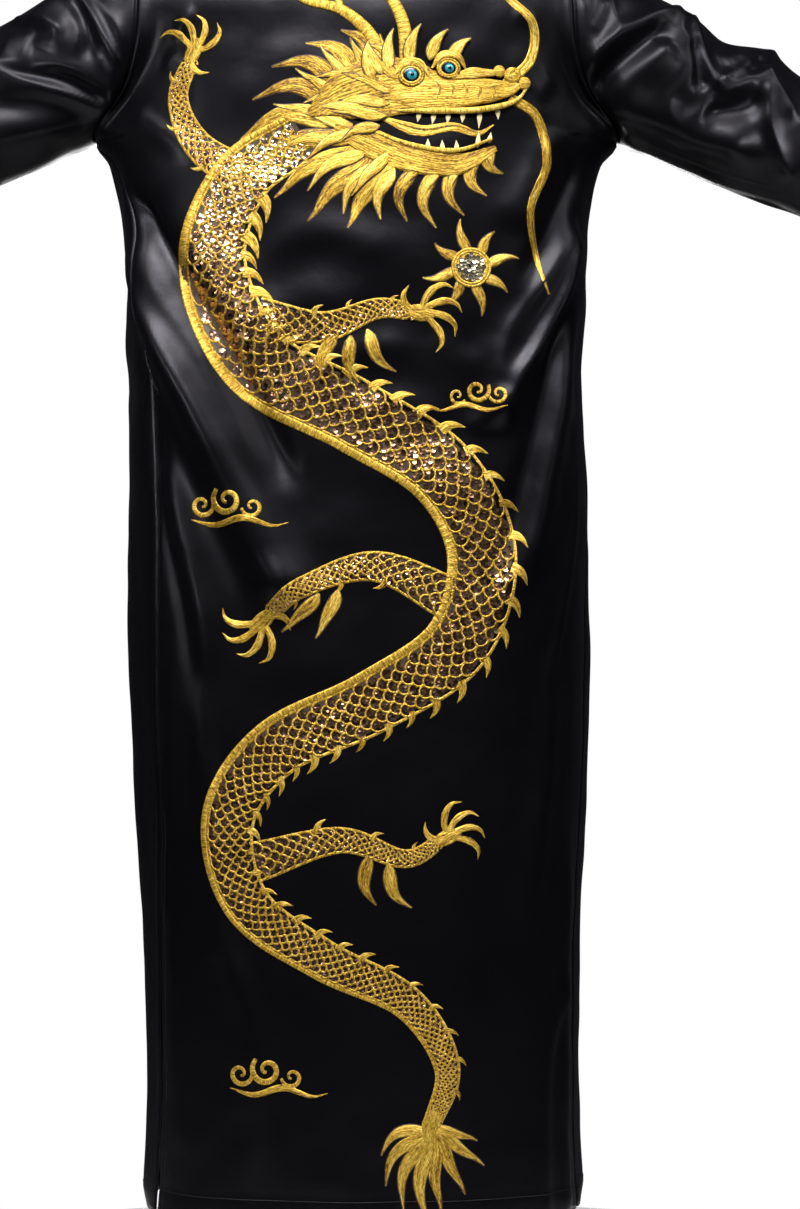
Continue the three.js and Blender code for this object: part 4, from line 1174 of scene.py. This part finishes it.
def jaws():
    for a, d, heading, reach in ((40, 282, 124, 50), (58, 286, 110, 62), (76, 288, 100, 66),
                                 (94, 284, 90, 58), (110, 278, 78, 46), (124, 270, 64, 34)):
        lock(gold, (a, d - 6), heading, reach, -34, 6.5, -0.1, 22)
        lock(gold, (a + 6, d - 7), heading + 8, reach * 0.62, 30, 4, 0.3, 14, 1.0, 0.7)
    bands(([(-20, 246), (18, 262), (58, 276), (100, 280), (136, 264)], [5, 15, 14, 11, 3],
           1.6, -0.1, True, 0.9),
          ([(14, 248), (58, 263), (98, 267), (132, 255)], [1.0, 2.4, 2.4, 1.2], 1.2, 0.4, False, 2.2),
          ([(26, 236), (62, 248), (94, 244), (118, 250), (134, 241)], [2, 6, 5, 4, 0.5], 1.0, 0.3),
          ([(36, 239), (66, 247), (96, 243), (116, 249)], [0.3, 1.2, 1.0, 0.3], 1.0, -0.8, False, 0.9))
    upper = ((62, 230, 96, 10), (76, 231, 94, 11), (90, 231, 92, 10), (104, 230, 90, 10),
             (120, 228, 88, 17), (137, 224, 80, 12))
    lower = ((70, 266, -84, 10), (84, 268, -86, 11), (98, 268, -88, 11), (118, 264, -82, 17),
             (129, 259, -74, 11))
    for teeth, bend, width in ((upper, 12, 2.6), (lower, -12, 2.5)):
        for a, d, way, tall in teeth:
            lock(tooth, (a, d), way, tall, bend, width, 0.9, 0, 1.0, 0.6)
    bands(([(-44, 232), (-14, 216), (24, 206), (56, 206), (96, 210)], [4, 24, 31, 25, 10],
           1.8, -0.15, True, 1.6))
    locks(((30, 234, 176, 54, 24), (34, 222, 182, 60, -18), (40, 210, 190, 56, 22), (24, 244, 166, 40, -20),
           (46, 198, 202, 44, 20), (8, 226, 172, 44, 26)), 5.5, 0.2, 12, 1.1, 3.0)


def snout():
    bands(([(34, 214), (76, 212), (112, 210), (146, 206), (158, 200)], [6, 18, 15, 12, 5],
           1.8, 0.0, True, 2.4),
          ([(40, 229), (84, 229), (122, 227), (154, 218), (167, 203)], [1, 3, 3, 3, 1],
           1.6, 0.35, False, 2.8),
          *(([(x, 201 + k), (x + 4, 208), (x + 1, 217)], [0.4, 1.5, 0.4], 0.9, -0.6, True, 3.9)
            for k, x in enumerate(range(78, 143, 13))),
          ([(92, 197), (112, 192), (134, 191)], [2, 6, 3], 1.6, 0.2, True, 3.6))
    for a, d, size in ((152, 193, 8.5), (163, 200, 6.5), (139, 189, 6)):
        bead(gold, (a, d), size, 0.1, 2.6, 0.35)
    scroll((152, 193), 6.5, 1.1, 20, 1, 5.4)


def brow_and_eyes():
    locks(((18, 200, 246, 40, 46), (34, 190, 258, 42, 46), (52, 184, 270, 42, 46), (72, 180, 282, 36, 50),
           (92, 180, 294, 30, 50), (26, 194, 236, 34, 30)), 6, 0.2, 0, 1.2, 3.4)
    lid = circle(np.linspace(0, 2 * math.pi, 15)) * (1, 0.86)
    for a, d, r in ((54, 195, 8.5), (90, 188, 7.5)):
        bead(dark_bead, (a, d), r, 0.0, 4.0, 0.15)
        bead(eye, (a + 0.8, d), r * 0.6, 0.5, 4.6, 0.6)
        bead(dark_bead, (a + 1.0, d), r * 0.24, 0.0, 4.8 + 0.32 * r, 0.5)
        for size, shade in ((1.1, 0.4), (1.42, -0.2)):
            cords(gold, lid[None] * r * size + (a, d), 1.3, shade, 4.0)
        bands(([(a - 16, d), (a - 6, d - 13), (a + 9, d - 12), (a + 17, d + 1)], [1, 4, 3.6, 0.6],
               1.6, 0.3, True, 4.2))


def whiskers():
    for path in ([(150, 214), (176, 232), (186, 276), (170, 322), (176, 368), (188, 404)],
                 [(146, 200), (170, 176), (172, 140), (146, 112), (140, 80), (152, 48)]):
        for shift, shade in ((-1.45, -0.1), (0.0, 0.3), (1.45, -0.1)):
            ribbon(gold, path, [2.0, 2.0, 1.8, 1.6, 1.2, 0.4], 1.1, shade, shift=shift)


def pearl():
    """A round pearl of coiled thread and pale sequins, ringed by small flames."""
    centre = np.array([112.0, 380.0])
    for heading in range(0, 360, 45):
        start = centre + 14 * towards(heading)
        lock(gold, start, heading - 40, 30 + 6 * (heading % 90 == 0), 62, 5, 0.1)
    scroll(centre, 16, 2.2, 0, 1)
    for size in (15.5, 18.0):
        ring = circle(np.linspace(0, 2 * math.pi, 33)) * size + centre
        cords(gold, ring[None], 1.5, 0.2)
    reach = np.sqrt(np.linspace(0.02, 1, 40)) * 13
    spots = np.array([(r * math.cos(k * 2.4), r * math.sin(k * 2.4)) for k, r in enumerate(reach)]) + centre
    sequins(pale, spots, np.full(40, 2.1), 0.9 + 0.1 * chance.standard_normal(40), 1.2)


# Sewing
INSET_ROWS = 40


def inset(grid, distance):
    """The line at a distance from a grid's first row, measured over the grid's points (its first three
    numbers; any further ones are read off at the same places)."""
    near = grid[:INSET_ROWS]
    step = np.linalg.norm(np.diff(near[..., :3], axis=0), axis=-1)
    run = np.vstack([np.zeros((1, step.shape[1])), np.cumsum(step, axis=0)])
    k = np.clip((run < distance).sum(0) - 1, 0, len(run) - 2)
    at = np.arange(grid.shape[1])
    t = ((distance - run[k, at]) / (run[k + 1, at] - run[k, at]))[:, None]
    return near[k, at] * (1 - t) + near[k + 1, at] * t


PITCH, STITCH, STITCH_RADIUS, STITCH_LIFT = 3.4, 2.6, 0.34, 0.05
STITCH_ALONG, STITCH_PULL = np.array([-0.5, -0.3, 0.3, 0.5]), np.array([0.35, 1.0, 1.0, 0.35])
STITCH_TURN = np.radians(np.array([-25, 30, 90, 150, 205]))


def stitches(line):
    """A row of stitches along a line of points and normals: short domed threads, pulled in at their
    ends, at an even pitch."""
    run = run_along(line[:, :3])
    both = read_line(np.arange(0.5 * PITCH, run[-1], PITCH)[:, None] + STITCH_ALONG * STITCH, run, line)
    place, normal = both[..., :3], both[..., 3:]
    side = np.cross(normal, unit(place[:, -1:] - place[:, :1]) + 0 * place)
    height = np.sin(STITCH_TURN)[:, None] * STITCH_RADIUS * STITCH_PULL[:, None, None] + STITCH_LIFT
    points = place[:, :, None] + side[:, :, None] * (np.cos(STITCH_TURN)[:, None] * STITCH_RADIUS)
    points = points + normal[:, :, None] * height
    sewing.grids(points[:, :, ::-1], np.zeros(points.shape[:3] + (2,)))


HEM_ROW, SLIT_ROW, FRONT_ROW, NECK_ROW = HEM_DEPTH - 1.5, 9.0, 7.0, 6.0


def sew_panel(points, facing, front):
    """Top-stitching above a panel's hem, down its slits, round the neck and, on a front, down its edge."""
    grid = np.concatenate([points, grid_normals(points, False, facing)], -1)
    stitches(inset(grid[::-1], HEM_ROW))
    below = int((SLIT_DROP - UNDERARM_DROP) / (HEM_DROP - UNDERARM_DROP) * SKIRT_STEPS)
    across = np.swapaxes(grid[YOKE_STEPS + below:], 0, 1)
    stitches(inset(across[::-1], SLIT_ROW))
    if front:
        stitches(inset(np.swapaxes(grid, 0, 1), FRONT_ROW))
        stitches(inset(grid[:, 1: NECK_STEPS + 1], NECK_ROW))
    else:
        stitches(inset(across, SLIT_ROW))
        stitches(inset(grid[:, LAST - NECK_STEPS: LAST + NECK_STEPS + 1], NECK_ROW))


def sew_sleeve(points, hand):
    """Top-stitching round a cuff."""
    grid = np.concatenate([points, grid_normals(points, True, -hand)], -1)
    line = inset(grid[::-1], HEM_ROW)
    stitches(np.vstack([line, line[:1]]))


LOOP_TOP, LOOP_FOOT, LOOP_STEPS, LOOP_BOW = 458, 500, 40, 2.6
LOOP_CORD, LOOP_SIDES, LOOP_TWIST = 0.6, 8, 7 * math.pi


def belt_loop(points):
    """A thread loop for a belt beside the left seam: two twisted cords held at both ends, bowed out."""
    edge, normal = points[:, -4], grid_normals(points, False, 1)[:, -4]
    drop = np.linspace(LOOP_TOP, LOOP_FOOT, LOOP_STEPS)
    place, out = (read_line(drop, -edge[:, 2], line) for line in (edge, normal))
    bow = LOOP_BOW * np.sin(math.pi * np.linspace(0, 1, LOOP_STEPS))[:, None]
    turn = round_turns(LOOP_SIDES)[:, None]
    side = np.cross(out, (0, 0, 1.0))
    ring = out[:, None] * np.sin(turn) + side[:, None] * np.cos(turn)
    twist = np.linspace(0, LOOP_TWIST, LOOP_STEPS)[:, None]
    for phase in (0, math.pi):
        centre = place + out * (bow + 0.9 + 0.45 * np.cos(twist + phase)) + side * 0.7 * np.sin(twist + phase)
        tube = centre[:, None] + LOOP_CORD * ring
        sewing.grids(tube[None], np.zeros((1, *tube.shape[:2], 2)), closed=True)


# The stage
# name, place, target, size, power and the spread of its beam in degrees
LIGHTS = (
    ("key", (0.15, 1.45, 1.2), (0, 0, -0.45), (1.3, 0.5), 50, 180),
    ("skirt", (0.0, 1.2, 1.0), (0, 0, -1.15), (0.8, 0.4), 2.5, 40),
    ("left_box", (1.35, 0.95, 1.6), (0, 0, -0.35), (0.5, 0.5), 14, 180),
    ("right_box", (-1.35, 0.95, 1.6), (0, 0, -0.35), (0.5, 0.5), 13, 180),
    ("right_fill", (-1.25, 0.8, 0.5), (0, 0, -0.65), (0.5, 0.5), 3, 180),
    ("left_sleeve", (1.5, 1.5, -0.3), (0.66, 0, -0.38), (0.4, 0.4), 2.4, 30),
    ("right_sleeve", (-1.6, 1.5, -0.3), (-0.72, 0, -0.38), (0.4, 0.4), 2.4, 22),
    ("front", (0, -2.4, -0.3), (0, 0, -0.6), (0.5, 1.6), 28, 180),
)
CAMERA_DISTANCE = 3.0
VIEW_CENTRE = (-0.0435, -0.7045)
VIEW_HEIGHT = 1.209
SENSOR = 36.0
FLOOR_Z, FLOOR_RADIUS, FLOOR_SIDES = -1.5, 1.0, 96
SEEN, DIM = ((1, 1, 1, 1), 1.0), ((0.86, 0.85, 1.0, 1), 0.035)


def make_lights():
    for name, place, target, size, power, spread in LIGHTS:
        light = bpy.data.lights.new(name, "AREA")
        light.shape = "RECTANGLE"
        light.size, light.size_y = size
        light.energy = power
        light.spread = math.radians(spread)
        x, y, z = np.subtract(target, place)
        place_object(name, light, place, (math.atan2(math.hypot(x, y), -z), 0, math.atan2(-x, y)))


def make_camera():
    """Level with the middle of the back, straight behind it; the view takes VIEW_HEIGHT in height."""
    data = bpy.data.cameras.new("camera")
    data.sensor_width = SENSOR
    data.lens = SENSOR * CAMERA_DISTANCE / VIEW_HEIGHT
    data.clip_end = 50
    x, z = VIEW_CENTRE
    camera = place_object("camera", data, (x, CAMERA_DISTANCE, z), (math.pi / 2, 0, math.pi))
    bpy.context.scene.camera = camera


def make_floor():
    rim = circle(round_turns(FLOOR_SIDES)) * FLOOR_RADIUS
    points = np.column_stack([np.vstack([[0, 0], rim]), np.full(FLOOR_SIDES + 1, FLOOR_Z)]) / MM
    ring = np.arange(1, FLOOR_SIDES + 1)
    floor = new_object("floor", points, np.column_stack([0 * ring, ring, np.roll(ring, -1)]))
    m = Material("floor", Roughness=0.9)
    m.set(Base_Color=m.ramp(m.noise(m.place(), 3.0), (0.3, 0.78), (0.7, 0.84)))
    floor.data.materials.append(m.material)


def make_world():
    """White behind everything, and a dim even light on it."""
    world = bpy.data.worlds.new("studio")
    bpy.context.scene.world = world
    nodes = Nodes(world, "ShaderNodeMixShader", "ShaderNodeOutputWorld")
    shades = [nodes.add("ShaderNodeBackground", Color=colour, Strength=strength).outputs[0]
              for colour, strength in (DIM, SEEN)]
    rays = nodes.add("ShaderNodeLightPath").outputs["Is Camera Ray"]
    for value, target in zip((rays, *shades), nodes.shader.inputs):
        nodes.join(value, target)


# Building
bpy.context.scene.view_settings.view_transform = "Standard"
make_camera()
make_world()
make_lights()
make_floor()

satin = satin_material()
back, back_points = make_panel("back_cloth", back_grid(), 1, ((0, 1), (2 * LAST, 2 * LAST - 1)))
fronts, sleeves = {}, {}
for hand, name in SIDES.items():
    fronts[hand] = make_panel(f"front_{name}_cloth", front_grid(hand), -hand, ((LAST, LAST - 1),))
for hand, name in SIDES.items():
    behind = back_points[: YOKE_STEPS + 1, -1 if hand > 0 else 0]
    before = fronts[hand][1][1:YOKE_STEPS, LAST][::-1]
    sleeves[hand] = make_sleeve(f"sleeve_{name}_cloth", np.concatenate([behind, before]), hand)

for piece, node in ((back, "back"), (fronts[1][0], "front_left"), (fronts[-1][0], "front_right"),
                    (sleeves[1][0], "sleeve_left"), (sleeves[-1][0], "sleeve_right")):
    wear(piece, satin)
    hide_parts(node)

sewing = Thread()
sew_panel(back_points, 1, False)
for hand in SIDES:
    sew_panel(fronts[hand][1], -hand, True)
for hand in SIDES:
    sew_sleeve(sleeves[hand][1], hand)
belt_loop(back_points)
sewing.finish("top_stitching", plain_material("black_thread", (0.006, 0.0055, 0.008), 0.5), "black_thread")

chance = np.random.default_rng(MOTIF_SEED)
face = BackFace(back_points)
gold, scales, ground, bronze, pale, tooth, eye, dark_bead = (Thread() for _ in range(8))
for part in (dragon, mane_and_horns, jaws, snout, brow_and_eyes, whiskers, pearl):
    part()
for centre, size, hand in (((-122, 604), 15, 1), ((-84, 1150), 15, 1), ((118, 498), 12, -1)):
    cloud(centre, size, hand)
gold_silk = gold_material()
gold.finish("gold_embroidery", gold_silk, "gold_thread")
scales.finish("gold_scales", gold_silk, "gold_thread")
ground.finish("scale_ground", ground_material(), "dark_thread")
for thread, name, dark, light in ((bronze, "bronze_sequins", (0.16, 0.070, 0.035), (0.86, 0.50, 0.30)),
                                  (pale, "pale_sequins", (0.62, 0.48, 0.24), (0.95, 0.88, 0.62))):
    thread.finish(name, sequin_material(name, dark, light), name)
tooth.finish("teeth", plain_material("pale_thread", (0.85, 0.72, 0.38), 0.4), "gold_thread")
eye.finish("eye_beads", plain_material("blue_beads", (0.02, 0.30, 0.42), 0.08, Coat_Weight=0.6), "blue_beads")
dark_bead.finish("eye_grounds", plain_material("eye_ground", (0.004, 0.004, 0.005), 0.2), "dark_thread")
